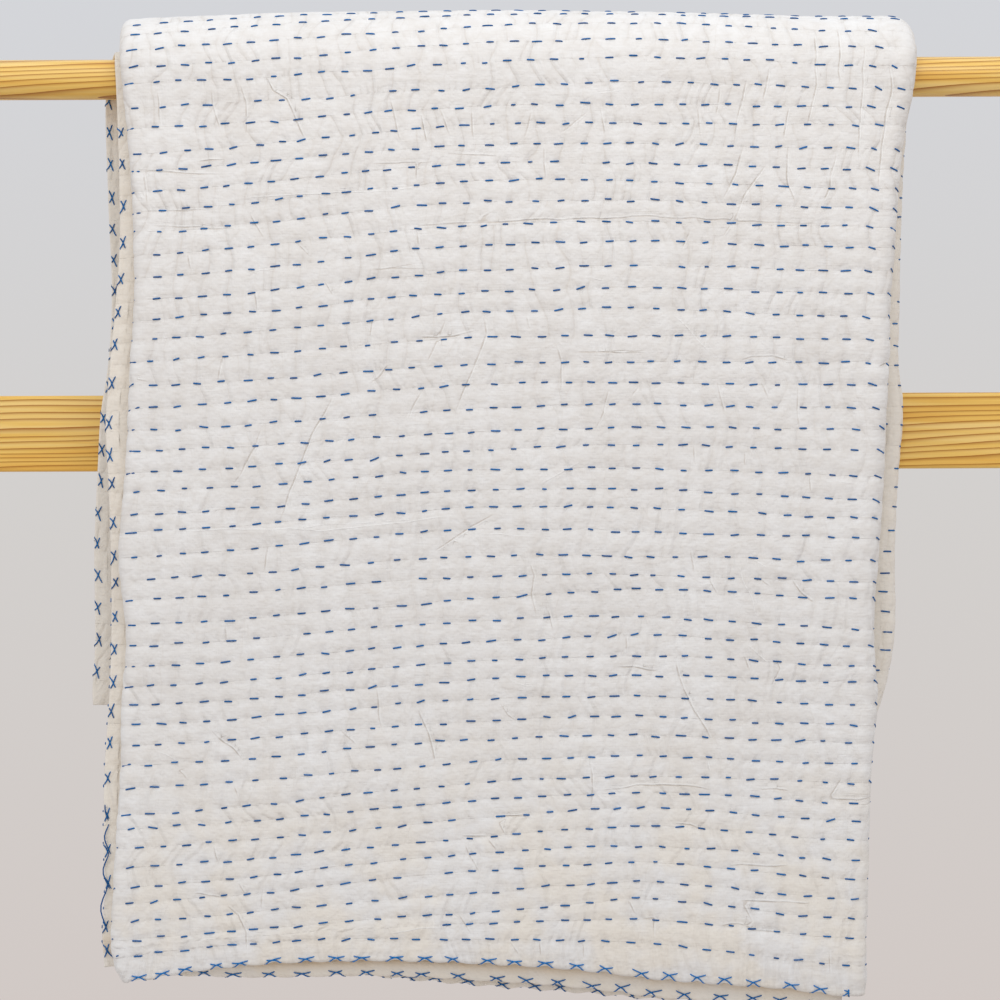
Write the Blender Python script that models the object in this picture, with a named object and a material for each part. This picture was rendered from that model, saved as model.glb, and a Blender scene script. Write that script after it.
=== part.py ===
"""Kantha quilt, folded lengthwise in thirds and hung over a round wooden bar.

Units are metres and +Z is up. X runs along the bar from its left end face, the quilt's long
front panel faces -Y, and the bar's axis is the line Y = 0, Z = 0. A flat rail lies behind the
quilt's back panel. "Run" is the distance along the quilt's outer ply from the top of the bar:
negative down the front panel, positive down the back panel.
"""

import math

import bmesh
import bpy
import numpy as np

MM = 0.001

# Bar and rail
BAR_LENGTH = 1.000
BAR_DIAMETER = 0.035
BAR_SIDES = 48
RAIL_HEIGHT = 0.068
RAIL_THICKNESS = 0.018
RAIL_DROP = 0.310
RAIL_ROUNDING = 0.0025
RAIL_ROUNDING_STEPS = 3
SHARP_EDGE_DEGREES = 40
REST_GAP = 0.0005

# Quilt: one ply of cloth and wadding, pinched along each row of stitches
PLY_PUFF = 0.0090
PLY_PINCH = 0.0060
HEM_THICKNESS = 0.0035
HIDDEN_EDGE_THICKNESS = 0.0060
PLY_STEP_PANEL = 0.0110
PLY_STEP_CROWN = 0.0135
CROWN_REACH = 0.090
FREE_EDGE_TAPER = 0.012

# Rows of running stitch, counted up from the front hem: (row, run in mm at the quilt's middle)
ROW_RUNS = (
    (0, -828), (4, -767), (8, -707), (12, -638), (18, -533), (22, -455), (26, -389),
    (29, -331), (32, -268), (36, -192), (42, -94), (43, -65), (46, -10), (80, 612),
)
FRONT_HEM_RUN = -849
BACK_HEM_RUN = 634

# Edges of the folded quilt in mm from its middle, from front hem to back hem.
# left_fold and right_fold are the outer ply's folds; free_edge is the inner ply's edge, which
# shows past the left fold; tucked_edge is the middle ply's edge, hidden inside the right fold.
EDGE_COLUMNS = ("run", "left_fold", "right_fold", "free_edge", "tucked_edge")
EDGES = (
    (-872, -329, 318, -338, 294),
    (-840, -336, 321, -348, 295),
    (-800, -336, 322, -350, 296),
    (-740, -334, 325, -348, 298),
    (-680, -331, 327, -346, 300),
    (-620, -330, 329, -342, 302),
    (-570, -326, 326, -340, 299),
    (-500, -328, 330, -340, 302),
    (-430, -327, 335, -342, 306),
    (-380, -324, 337, -344, 308),
    (-330, -322, 340, -340, 310),
    (-280, -318, 341, -335, 310),
    (-230, -318, 345, -331, 313),
    (-170, -320, 349, -331, 315),
    (-130, -323, 354, -332, 318),
    (-78, -328, 364, -334, 324),
    (0, -332, 363, -338, 322),
    (78, -338, 366, -348, 314),
    (174, -338, 361, -347, 304),
    (274, -335, 358, -344, 294),
    (324, -338, 357, -347, 290),
    (370, -344, 361, -354, 288),
    (420, -347, 358, -357, 284),
    (485, -350, 356, -360, 280),
    (585, -350, 355, -360, 276),
    (619, -352, 347, -362, 274),
    (650, -350, 337, -360, 272),
)

# Droop of the stitch rows at the quilt's two sides, in mm below their middle
DROOP_COLUMNS = ("run", "left", "right")
DROOPS = (
    (-800, 22, 17),
    (-600, 24, 12),
    (-300, 25, 11),
    (-150, 21, 8),
    (-60, 11, 5),
    (20, 0, 0),
    (120, 6, 5),
    (400, 12, 9),
    (600, 8, 10),
)
LEFT_DROOP_FROM = -10
RIGHT_DROOP_FROM = 160
DROOP_HALF_WIDTH = 325
LEFT_DROOP_POWER = 1.2
RIGHT_DROOP_POWER = 1.3
# Where each edge lies on average, in mm from the quilt's middle
LEFT_FOLD_X = -326
RIGHT_FOLD_X = 330
FREE_EDGE_X = -342

# Hem of the outer ply: mm below its height at the quilt's middle, by mm from that middle
FRONT_HEM = ((-335, 18), (-253, 4), (-130, -3), (35, 0), (134, 11), (247, 20), (320, 23))
BACK_HEM = ((-360, -5), (-180, -2), (0, 0), (250, 4), (330, 12), (350, 8))
# Further drop of the middle and the inner ply's front hems, in mm
MIDDLE_PLY_DROP = ((-330, 0), (-285, 3), (-230, 11), (-90, 15), (80, 17), (190, 17), (310, 12))
INNER_PLY_DROP = ((-345, -13), (-220, 4), (-90, 19), (112, 22), (250, 12), (330, 0))
HEM_BLEND = 200

# How far the outer ply stands off its even place, in mm, and the whole stack's sway in Y
BULGE = (
    (-850, 1.0), (-600, 3.0), (-300, 4.0), (-100, 5.0), (0, 6.0), (70, 4.0), (200, 1.5),
    (330, 0.0), (440, 0.0), (560, 1.5), (640, 1.0),
)
BULGE_MIDDLE = -70
BULGE_LEFT_WIDTH = 250
BULGE_RIGHT_WIDTH = 340
SWAY = (
    (-850, -2.0), (-640, 3.0), (-400, 2.0), (-220, -1.5), (-80, 0.0), (80, 0.0),
    (220, 0.0), (460, 0.0), (640, -3.0),
)

# Places round the folded section: shares of a ply's width, and degrees round a fold
MIDDLE_PLY_SHARES = (0.0, 0.38, 0.70)
LEFT_FOLD_DEGREES = (-90, 0, 90)
OUTER_PLY_SHARES = (0.2, 0.4, 0.6, 0.8)
RIGHT_FOLD_DEGREES = (90, 30, -30, -90)
INNER_PLY_SHARES = (0.33, 0.70)

# Derived sizes
BAR_RADIUS = BAR_DIAMETER / 2
QUILT_MIDDLE_X = BAR_LENGTH / 2
INNER_PLY_OFFSET = BAR_RADIUS + REST_GAP + PLY_PUFF / 2
OUTER_PLY_RADIUS = INNER_PLY_OFFSET + 2 * PLY_STEP_CROWN
RAIL_FRONT_Y = INNER_PLY_OFFSET + 2 * PLY_STEP_PANEL + PLY_PUFF / 2 + REST_GAP


def clear_scene():
    """Remove every object that the scene starts with."""
    for obj in list(bpy.data.objects):
        bpy.data.objects.remove(obj, do_unlink=True)


def plain_material(name, colour, roughness):
    """A Principled material of one colour."""
    material = bpy.data.materials.new(name)
    material.use_nodes = True
    shader = material.node_tree.nodes["Principled BSDF"]
    shader.inputs["Base Color"].default_value = (*colour, 1.0)
    shader.inputs["Roughness"].default_value = roughness
    shader.inputs["Metallic"].default_value = 0.0
    material.diffuse_color = (*colour, 1.0)
    return material


def object_from_bmesh(name, shape, material):
    """Link a new object made from a bmesh, and free the bmesh."""
    mesh = bpy.data.meshes.new(name)
    shape.to_mesh(mesh)
    shape.free()
    mesh.materials.append(material)
    obj = bpy.data.objects.new(name, mesh)
    bpy.context.collection.objects.link(obj)
    return obj


def curve(table, at, column=1):
    """Smooth curve through one column of a table, read at places along its first column."""
    places = np.array([row[0] for row in table], float)
    values = np.array([row[column] for row in table], float)
    slopes = np.gradient(values, places)
    at = np.clip(at, places[0], places[-1])
    low = np.clip(np.searchsorted(places, at) - 1, 0, len(places) - 2)
    width = places[low + 1] - places[low]
    t = (at - places[low]) / width
    ease = t * t * (3 - 2 * t)
    start = t * (1 - t) ** 2 * width
    end = t * t * (t - 1) * width
    level = values[low] * (1 - ease) + values[low + 1] * ease
    return level + slopes[low] * start + slopes[low + 1] * end


def edge(name, run):
    """One edge of the folded quilt, in metres from its middle, at a run in mm."""
    return curve(EDGES, run, EDGE_COLUMNS.index(name)) * MM


def ease_in(share):
    """Smooth step from 0 to 1."""
    share = np.clip(share, 0, 1)
    return share * share * (3 - 2 * share)


def local_run(middle_run, x_mm):
    """Run of a line across the outer ply at x, from its run at the quilt's middle, all in mm."""
    left = np.clip((LEFT_DROOP_FROM - x_mm) / DROOP_HALF_WIDTH, 0, None) ** LEFT_DROOP_POWER
    right_width = DROOP_HALF_WIDTH - RIGHT_DROOP_FROM
    right = np.clip((x_mm - RIGHT_DROOP_FROM) / right_width, 0, None) ** RIGHT_DROOP_POWER
    row = curve(DROOPS, middle_run, DROOP_COLUMNS.index("left")) * left
    row = row + curve(DROOPS, middle_run, DROOP_COLUMNS.index("right")) * right
    front = ease_in((FRONT_HEM_RUN + HEM_BLEND - middle_run) / HEM_BLEND)
    back = ease_in((middle_run - BACK_HEM_RUN + HEM_BLEND) / HEM_BLEND)
    droop = row * (1 - front - back) + curve(FRONT_HEM, x_mm) * front + curve(BACK_HEM, x_mm) * back
    return middle_run + np.where(middle_run < 0, -droop, droop)


def stations():
    """Run and thickness of each line across the quilt: both hems, each row, each puff."""
    last_row = ROW_RUNS[-1][0]
    rows = curve(ROW_RUNS, np.arange(last_row + 1))
    lines = np.concatenate(([FRONT_HEM_RUN], rows, [BACK_HEM_RUN]))
    puffs = (lines[:-1] + lines[1:]) / 2
    runs = np.empty(2 * len(lines) - 1)
    runs[0::2] = lines
    runs[1::2] = puffs
    thickness = np.where(np.arange(len(runs)) % 2 == 0, PLY_PINCH, PLY_PUFF)
    thickness[[0, -1]] = HEM_THICKNESS
    return runs[:, None], thickness[:, None]


def folded_section(run, thickness):
    """Centre line of the folded cloth at each station, from tucked edge to free edge.

    Gives x from the quilt's middle, offset from the bar's axis, the direction to the cloth's
    outer side, half its thickness, and the extra droop of the ply, each as one array.
    """
    step = PLY_STEP_PANEL + (PLY_STEP_CROWN - PLY_STEP_PANEL) * np.exp(-(run * MM / CROWN_REACH) ** 2)
    inner = np.full_like(run, INNER_PLY_OFFSET)
    middle = inner + step
    outer = inner + 2 * step
    left_radius = step / 2
    right_radius = step
    left_x = edge("left_fold", local_run(run, LEFT_FOLD_X)) + left_radius + PLY_PUFF / 2
    right_x = edge("right_fold", local_run(run, RIGHT_FOLD_X)) - right_radius - PLY_PUFF / 2
    free_x = edge("free_edge", local_run(run, FREE_EDGE_X))
    tucked_x = edge("tucked_edge", run)
    columns = []
    for share in MIDDLE_PLY_SHARES:
        half = HIDDEN_EDGE_THICKNESS / 2 if share == 0 else thickness / 2
        columns.append((tucked_x + (left_x - tucked_x) * share, middle, 0, -1, half, 1, 0))
    for degrees in LEFT_FOLD_DEGREES:
        out, up = math.cos(math.radians(degrees)), math.sin(math.radians(degrees))
        offset = (outer + middle) / 2 + left_radius * up
        columns.append((left_x - left_radius * out, offset, -out, up, thickness / 2, 0, 0))
    for share in OUTER_PLY_SHARES:
        columns.append((left_x + (right_x - left_x) * share, outer, 0, 1, thickness / 2, 0, 0))
    for degrees in RIGHT_FOLD_DEGREES:
        out, up = math.cos(math.radians(degrees)), math.sin(math.radians(degrees))
        offset = (outer + inner) / 2 + right_radius * up
        columns.append((right_x + right_radius * out, offset, out, up, thickness / 2, 0, 0))
    for share in INNER_PLY_SHARES:
        columns.append((right_x + (free_x - right_x) * share, inner, 0, -1, thickness / 2, 0, 1))
    columns.append((free_x + FREE_EDGE_TAPER, inner, 0, -1, thickness / 2, 0, 1))
    columns.append((free_x, inner, 0, -1, HEM_THICKNESS / 2, 0, 1))
    ones = np.ones_like(run)
    return [np.hstack([column[part] * ones for column in columns]) for part in range(7)]


def draped(x, offset, run):
    """Place points on the drape: x from the quilt's middle, offset from the bar, run in mm."""
    run_m = run * MM
    angle = np.clip(run_m / OUTER_PLY_RADIUS, -math.pi / 2, math.pi / 2)
    fall = np.abs(run_m) - np.abs(angle) * OUTER_PLY_RADIUS
    y = offset * np.sin(angle) + curve(SWAY, run) * MM
    z = offset * np.cos(angle) - fall
    return np.stack([x + QUILT_MIDDLE_X, y, z], axis=-1)


def quilt_sides():
    """Points of the quilt's two faces, each by station and place round the section."""
    run, thickness = stations()
    x, offset, out_x, out_offset, half, in_middle, in_inner = folded_section(run, thickness)
    x_mm = x / MM
    on_outer = (1 - in_middle) * (1 - in_inner) * (out_offset > 0)
    spread = np.where(x_mm < BULGE_MIDDLE, BULGE_LEFT_WIDTH, BULGE_RIGHT_WIDTH)
    crown = np.clip(1 - ((x_mm - BULGE_MIDDLE) / spread) ** 2, 0, 1)
    offset = offset + on_outer * crown * curve(BULGE, run) * MM
    hem = ease_in((FRONT_HEM_RUN + HEM_BLEND - run) / HEM_BLEND)
    ply_drop = in_middle * curve(MIDDLE_PLY_DROP, x_mm) + in_inner * curve(INNER_PLY_DROP, x_mm)
    place = local_run(run, x_mm) - hem * ply_drop
    outer_side = draped(x + out_x * half, offset + out_offset * half, place)
    inner_side = draped(x - out_x * half, offset - out_offset * half, place)
    return outer_side, inner_side


def make_quilt(material):
    """One closed solid: both faces of the folded cloth, its hems and its side edges."""
    outer_side, inner_side = quilt_sides()
    shape = bmesh.new()
    rings = []
    for outer_line, inner_line in zip(outer_side, inner_side):
        points = list(outer_line) + list(inner_line[::-1])
        rings.append([shape.verts.new(point) for point in points])
    around = len(rings[0])
    for ring, following in zip(rings, rings[1:]):
        for i in range(around):
            j = (i + 1) % around
            shape.faces.new((ring[i], ring[j], following[j], following[i]))
    for ring in (rings[0], rings[-1]):
        for i in range(around // 2 - 1):
            shape.faces.new((ring[i], ring[i + 1], ring[around - 2 - i], ring[around - 1 - i]))
    bmesh.ops.recalc_face_normals(shape, faces=shape.faces)
    quilt = object_from_bmesh("quilt", shape, material)
    quilt.data.shade_smooth()
    return quilt


def make_top_bar(material):
    """Round bar along X, with its left end face at the origin."""
    shape = bmesh.new()
    bmesh.ops.create_cone(shape, cap_ends=True, segments=BAR_SIDES, radius1=BAR_RADIUS,
                          radius2=BAR_RADIUS, depth=BAR_LENGTH)
    bar = object_from_bmesh("top_bar", shape, material)
    bar.rotation_euler = (0, math.pi / 2, 0)
    bar.location = (BAR_LENGTH / 2, 0, 0)
    bar.data.shade_smooth()
    bar.data.set_sharp_from_angle(angle=math.radians(SHARP_EDGE_DEGREES))
    return bar


def make_lower_rail(material):
    """Flat rail behind the back panel, its long edges rounded."""
    shape = bmesh.new()
    bmesh.ops.create_cube(shape, size=1.0)
    bmesh.ops.scale(shape, vec=(BAR_LENGTH, RAIL_THICKNESS, RAIL_HEIGHT), verts=shape.verts)
    long_edges = [e for e in shape.edges if abs(e.verts[0].co.x - e.verts[1].co.x) > BAR_LENGTH / 2]
    bmesh.ops.bevel(shape, geom=long_edges, offset=RAIL_ROUNDING, segments=RAIL_ROUNDING_STEPS,
                    profile=0.5, affect='EDGES')
    rail = object_from_bmesh("lower_rail", shape, material)
    rail.location = (BAR_LENGTH / 2, RAIL_FRONT_Y + RAIL_THICKNESS / 2, -RAIL_DROP)
    return rail


def main():
    clear_scene()
    cotton = plain_material("cotton", (0.83, 0.80, 0.75), 0.9)
    pine = plain_material("pine", (0.70, 0.40, 0.13), 0.5)
    make_top_bar(pine)
    make_lower_rail(pine)
    make_quilt(cotton)


if __name__ == "__main__":
    main()
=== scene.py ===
"""Kantha quilt of white cotton, folded lengthwise in thirds and hung over a round pine bar.

Laid out as a Blender add-on: one operator for each piece or group of like pieces, one for the
stage, and a sidebar panel that lists them. Units are metres and +Z is up. X runs along the bar
from its left end, the quilt's long front panel faces -Y, and the bar's axis is Y = 0, Z = 0.
"Run" is the distance along the quilt's outer ply from the top of the bar, in mm: negative down
the front panel, positive down the back panel. "Across" is the distance over the cloth from the
middle of the outer ply, in mm, and it carries on round both folds.
"""

import math
from functools import lru_cache

import bpy
import numpy as np
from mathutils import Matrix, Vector


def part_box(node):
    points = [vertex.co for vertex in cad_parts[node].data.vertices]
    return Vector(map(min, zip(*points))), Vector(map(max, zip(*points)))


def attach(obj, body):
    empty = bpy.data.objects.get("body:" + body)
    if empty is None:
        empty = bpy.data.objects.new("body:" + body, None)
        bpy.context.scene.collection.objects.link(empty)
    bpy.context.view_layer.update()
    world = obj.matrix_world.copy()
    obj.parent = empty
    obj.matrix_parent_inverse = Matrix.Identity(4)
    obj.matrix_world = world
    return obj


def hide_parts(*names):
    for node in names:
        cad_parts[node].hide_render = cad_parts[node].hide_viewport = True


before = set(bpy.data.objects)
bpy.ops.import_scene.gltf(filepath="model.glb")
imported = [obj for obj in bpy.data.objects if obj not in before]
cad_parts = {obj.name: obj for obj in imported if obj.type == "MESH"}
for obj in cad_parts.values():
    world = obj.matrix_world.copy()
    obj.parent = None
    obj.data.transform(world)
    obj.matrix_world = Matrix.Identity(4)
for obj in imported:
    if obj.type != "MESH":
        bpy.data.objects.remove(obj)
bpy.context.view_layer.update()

bl_info = {
    "name": "Kantha Quilt on a Bar",
    "version": (1, 0, 0),
    "blender": (4, 5, 0),
    "location": "View3D > Sidebar > Kantha",
    "description": "A hand-stitched cotton quilt folded in thirds over a pine bar, with a rail behind",
    "category": "Add Mesh",
}

BAR_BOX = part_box("top_bar")
RAIL_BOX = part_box("lower_rail")

MM = 0.001

# ---- Sizes of the folded quilt, as the frame has them ----
PLY_PUFF = 0.0090
PLY_PINCH = 0.0060
HEM_THICKNESS = 0.0035
HIDDEN_EDGE_THICKNESS = 0.0060
PLY_STEP_PANEL = 0.0110
PLY_STEP_CROWN = 0.0135
CROWN_REACH = 0.090
FREE_EDGE_TAPER = 0.012
REST_GAP = 0.0005

BAR_RADIUS = (BAR_BOX[1][2] - BAR_BOX[0][2]) / 2
QUILT_MIDDLE_X = (BAR_BOX[0][0] + BAR_BOX[1][0]) / 2
INNER_PLY_OFFSET = BAR_RADIUS + REST_GAP + PLY_PUFF / 2
OUTER_PLY_RADIUS = INNER_PLY_OFFSET + 2 * PLY_STEP_CROWN

# Run of each row of running stitch on the front, from the hem up, at four places across. The
# columns are left, middle, crest and right, each at its place.
ROW_PLACES = (-278, 0, 120, 277)
FRONT_ROWS = (
    (-836, -828, -831, -850), (-830, -814, -812, -827), (-824, -803, -794, -810),
    (-809, -786, -779, -793), (-793, -768, -762, -776), (-779, -752, -748, -759),
    (-763, -738, -731, -742), (-746, -722, -715, -726), (-730, -707, -702, -711),
    (-717, -692, -688, -693), (-695, -674, -670, -677), (-675, -655, -653, -659),
    (-658, -639, -636, -644), (-640, -620, -619, -626), (-624, -603, -601, -606),
    (-608, -587, -584, -592), (-590, -570, -566, -575), (-572, -552, -550, -560),
    (-554, -533, -526, -534), (-532, -514, -514, -520), (-515, -497, -498, -502),
    (-495, -474, -476, -482), (-474, -455, -456, -464), (-459, -440, -440, -448),
    (-439, -422, -422, -428), (-422, -405, -401, -406), (-404, -389, -386, -388),
    (-386, -369, -366, -370), (-367, -348, -348, -350), (-348, -331, -330, -331),
    (-327, -308, -307, -310), (-308, -286, -284, -290), (-291, -268, -266, -271),
    (-273, -250, -247, -251), (-254, -228, -226, -231), (-234, -211, -209, -213),
    (-215, -191, -191, -197), (-197, -173, -174, -180), (-180, -158, -159, -163),
    (-162, -142, -142, -146), (-147, -125, -124, -126), (-126, -109, -108, -110),
    (-108, -93, -89, -93), (-87, -72, -68, -73), (-73, -56, -52, -57),
    (-58, -40, -35, -40), (-42, -24, -20, -20), (-28, -10, -7, -7),
)
# The row curves' first and last stations, how far each row's slope carries on to them, and how
# much the lowest rows sag at the left one
END_PLACES = (-346, 345)
END_CARRY = (0.16, 0.35)
LEFT_END_DROP = 8
LEFT_END_DROP_ROWS = 2
# One row starts part of the way across and ends on the right fold
SHORT_ROW = 1
SHORT_ROW_FROM = -56
SHORT_ROW_TO = 480
# Over how far the two bands beside its missing part become one, and where its groove fades in
SHORT_ROW_BLEND = 30
SHORT_ROW_FADE = (20, 25)
# The rows go on, evenly spaced, over the crown and down the back
LAST_ROW = 81
LAST_ROW_RUN = 612
BACK_ROW_SHIFT = 1.6
BACK_BLEND_ROWS = 1.5
FRONT_HEM_RUN = -849
BACK_HEM_RUN = 634

# Edges of the folded quilt in mm from its middle, from front hem to back hem. The folds are the
# outer ply's; the free edge is the inner ply's, and the tucked edge the middle ply's.
EDGE_COLUMNS = ("run", "left_fold", "right_fold", "free_edge", "tucked_edge")
EDGES = (
    (-872, -329, 318, -346, 294),
    (-840, -339, 318, -348, 295),
    (-800, -339, 319, -346, 296),
    (-740, -335, 321, -347, 298),
    (-680, -331, 324, -346, 300),
    (-620, -330, 329, -342, 302),
    (-570, -326, 326, -340, 299),
    (-500, -332, 330, -340, 302),
    (-430, -327, 335, -342, 306),
    (-380, -324, 337, -344, 308),
    (-330, -322, 340, -340, 310),
    (-280, -318, 341, -335, 310),
    (-230, -318, 345, -331, 313),
    (-170, -320, 349, -331, 315),
    (-130, -323, 354, -332, 318),
    (-78, -328, 364, -334, 324),
    (0, -332, 363, -338, 322),
    (78, -338, 366, -348, 314),
    (174, -338, 361, -347, 304),
    (274, -335, 358, -344, 294),
    (324, -338, 357, -347, 290),
    (370, -344, 361, -354, 288),
    (420, -347, 357, -357, 284),
    (485, -350, 353, -360, 280),
    (585, -350, 350, -360, 276),
    (619, -352, 343, -362, 274),
    (650, -350, 334, -360, 272),
)

# Droop of the back rows at the quilt's two sides, in mm below their middle
DROOP_COLUMNS = ("run", "left", "right")
DROOPS = (
    (-800, 22, 17),
    (-600, 24, 12),
    (-300, 25, 11),
    (-150, 21, 8),
    (-60, 11, 5),
    (20, 0, 0),
    (120, 6, 5),
    (400, 12, 9),
    (600, 8, 10),
)
LEFT_DROOP_FROM = -10
RIGHT_DROOP_FROM = 160
DROOP_HALF_WIDTH = 325
LEFT_DROOP_POWER = 1.2
RIGHT_DROOP_POWER = 1.3
# Where each edge lies on average, in mm from the quilt's middle
LEFT_FOLD_X = -326
RIGHT_FOLD_X = 330
FREE_EDGE_X = -342

# Hem of the outer ply, in mm below its height at the middle, by mm from that middle, and the
# further drop of the middle and the inner ply's front hems
FRONT_HEM = ((-335, 18), (-253, 4), (-130, -3), (-60, -2), (0, 1), (35, 3), (86, 8), (134, 14),
             (190, 18.5), (247, 23), (285, 28), (320, 31))
BACK_HEM = ((-360, -5), (-180, -2), (0, 0), (250, 4), (330, 12), (350, 8))
MIDDLE_PLY_DROP = ((-330, 0), (-285, 3), (-230, 11), (-90, 15), (80, 17), (190, 17), (310, 12))
INNER_PLY_DROP = ((-345, -13), (-220, 4), (-90, 19), (112, 22), (250, 12), (330, 0))
HEM_BLEND = 200

# How far the outer ply stands off its even place, in mm, and the whole stack's sway in Y
BULGE = (
    (-850, 1.0), (-600, 3.0), (-300, 4.0), (-100, 5.0), (0, 6.0), (70, 4.0), (200, 1.5),
    (330, 0.0), (440, 0.0), (560, 1.5), (640, 1.0),
)
BULGE_MIDDLE = -70
BULGE_LEFT_WIDTH = 250
BULGE_RIGHT_WIDTH = 340
SWAY = (
    (-850, -2.0), (-640, 3.0), (-400, 2.0), (-220, -1.5), (-80, 0.0), (80, 0.0),
    (220, 0.0), (460, 0.0), (640, -3.0),
)

# ---- Grid of the cloth: lines run across it, places run round its folded section ----
# Lines in one band between two rows, as shares of the band
HEM_LINES = (0.0, 0.05, 0.14, 0.32, 0.55, 0.78)
FRONT_LINES = (0.0, 0.12, 0.37, 0.63, 0.88)
BACK_LINES = (0.0, 0.15, 0.5, 0.85)
BACK_LINES_FROM_ROW = 51
# Parts of the folded section in their order round it, and the steps along each
MIDDLE_PLY, LEFT_FOLD, OUTER_PLY, RIGHT_FOLD, INNER_PLY = range(5)
MIDDLE_STEPS = 100
LEFT_FOLD_STEPS = 10
OUTER_STEPS = 210
RIGHT_FOLD_STEPS = 14
INNER_STEPS = 140
FREE_EDGE_MM = (9.0, 6.5, 4.2, 2.6, 1.4, 0.6, 0.0)

LEFT_FOLD_AT = MIDDLE_STEPS
OUTER_AT = LEFT_FOLD_AT + LEFT_FOLD_STEPS
RIGHT_FOLD_AT = OUTER_AT + OUTER_STEPS
INNER_AT = RIGHT_FOLD_AT + RIGHT_FOLD_STEPS
FREE_EDGE_AT = INNER_AT + INNER_STEPS
PLACES = FREE_EDGE_AT + 1 + len(FREE_EDGE_MM)

FIRST_ROW_LINE = len(HEM_LINES)
BACK_LINE = FIRST_ROW_LINE + BACK_LINES_FROM_ROW * len(FRONT_LINES)
LAST_ROW_LINE = BACK_LINE + (LAST_ROW - BACK_LINES_FROM_ROW) * len(BACK_LINES)
LAST_LINE = LAST_ROW_LINE + len(HEM_LINES)
LOW_BANDS_LINE = FIRST_ROW_LINE + 20 * len(FRONT_LINES)
HEM_BAND_LINE = FIRST_ROW_LINE + 2 * len(FRONT_LINES)

# Where a face hardly shows it keeps only the rims of its bands: (first line, last line, step)
COARSE_BANDS = (
    (0, FIRST_ROW_LINE, len(HEM_LINES)),
    (FIRST_ROW_LINE, BACK_LINE, len(FRONT_LINES)),
    (BACK_LINE, LAST_ROW_LINE, len(BACK_LINES)),
    (LAST_ROW_LINE, LAST_LINE, len(HEM_LINES)),
)
COARSE_STEP = 10
COARSE_FOLD_STEP = 7

# ---- Relief of the cloth, in mm ----
SEED = 7
ROW_WANDER = 0.9
ROW_WANDER_LENGTH = 38
ROW_WANDER_PER_ROW = 1.9
ROW_WANDER_FADE = 1.2
PILLOW_POWER = 0.85
PILLOW_CELL = 34
PILLOW_PER_BAND = 3.7
PILLOW_FULLNESS = (0.82, 0.34)
FULL_BAND = 18.5
BAND_FULLNESS = (0.45, 1.25)
CELL_DIP = 0.56
CELL_DIP_SPREAD = 0.6
CELL_DIP_CELL = 23
CELL_DIP_PER_ROW = 0.8
CELL_DIP_MOST = 0.85
CELL_DIP_POWER = 0.7
FULLNESS_BY_RUN = (
    (-900, 1.15), (-650, 1.08), (-440, 0.92), (-200, 0.92), (-110, 0.66), (-30, 0.55), (60, 0.65),
    (140, 0.95),
)
GAP_LIFT = 0.36
STITCH_PULL = 0.35
ROW_GROOVE = 2.2
PUCKER_WIDTH = 3.7
PUCKER_DEPTH = 0.95
PUCKER_REACH = (9, 26)
PUCKER_LEAN = 0.22
ROW_LEAN = 0.12
PUCKER_STRENGTH = (0.15, 1.0)
PUCKER_FADE_POWER = 1.3
# How much a groove takes off the puckers in it, and the shares of the stitches and the puckers
# in the map of pinched cloth
PUCKER_LOSS_IN_GROOVE = 0.4
PINCH_SHARES = (0.5, 0.6)
STITCH_HOLD = 3.0
# A row's relief reaches nearly to the rows beside it, and the first row's this far into the hem
ROW_RELIEF_REACH = 0.999
FIRST_ROW_RELIEF_FROM = -0.9
CRUMPLE_DEPTH = 0.5
CRUMPLE_CELL = (21, 13)
SWELL_DEPTH = 0.9
SWELL_CELL = (95, 70)
# Share of that relief on the back panel, the inner ply and the middle ply, and the run where the
# front's full relief has given way to the back's, with the length that it takes
BACK_PILLOW_SHARE = 0.72
INNER_PILLOW_SHARE = 0.65
MIDDLE_PILLOW_SHARE = 0.5
FRONT_RELIEF_TO = (90, 120)
# Puff of the front and the back hem's own bands, and how soon it rises and falls, in rows
HEM_PUFFS = (0.55, 0.5)
HEM_PUFF_RISE = 0.35
HEM_PUFF_FALL = 0.3
# Depth of the two hems' bands, for the round of their lips
HEM_BANDS = (21, 22)
LIP_SWELL = 11
HIDDEN_EDGE_SLOPE = 0.1
THINNEST = 0.3
# From this run down the back, and all over the inner ply, the cloth keeps within the frame's
# puff; over the bar the inner ply keeps a little more clear
SNUG_RUN = 120
OVER_BAR_RUN = 130
BAR_CLEARANCE = 0.05
CREASE_REACH = 6.0
CREASE_SHARE = 0.6
CREASE_WANDER = (0.9, 13, 50)
CREASE_UNEVEN = (0.45, 15)
CREASE_BELL_REACH = 4
CREASE_END_SHARE = 0.4
CREASE_END_POWER = 0.4
CREASE_LIP_AT = 1.9
CREASE_LIP_SHARE = 0.3
CREASE_DEPTH_REACH = 0.7
# The main creases reach this many steps on to the right fold
CREASED_FOLD_STEPS = 8
# Top of the map of the inside on the right fold and the inner ply: enough for its painted cream shade,
# short of the hems' painted warm shade
BACK_INSIDE_SHARE = 0.64

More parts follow.
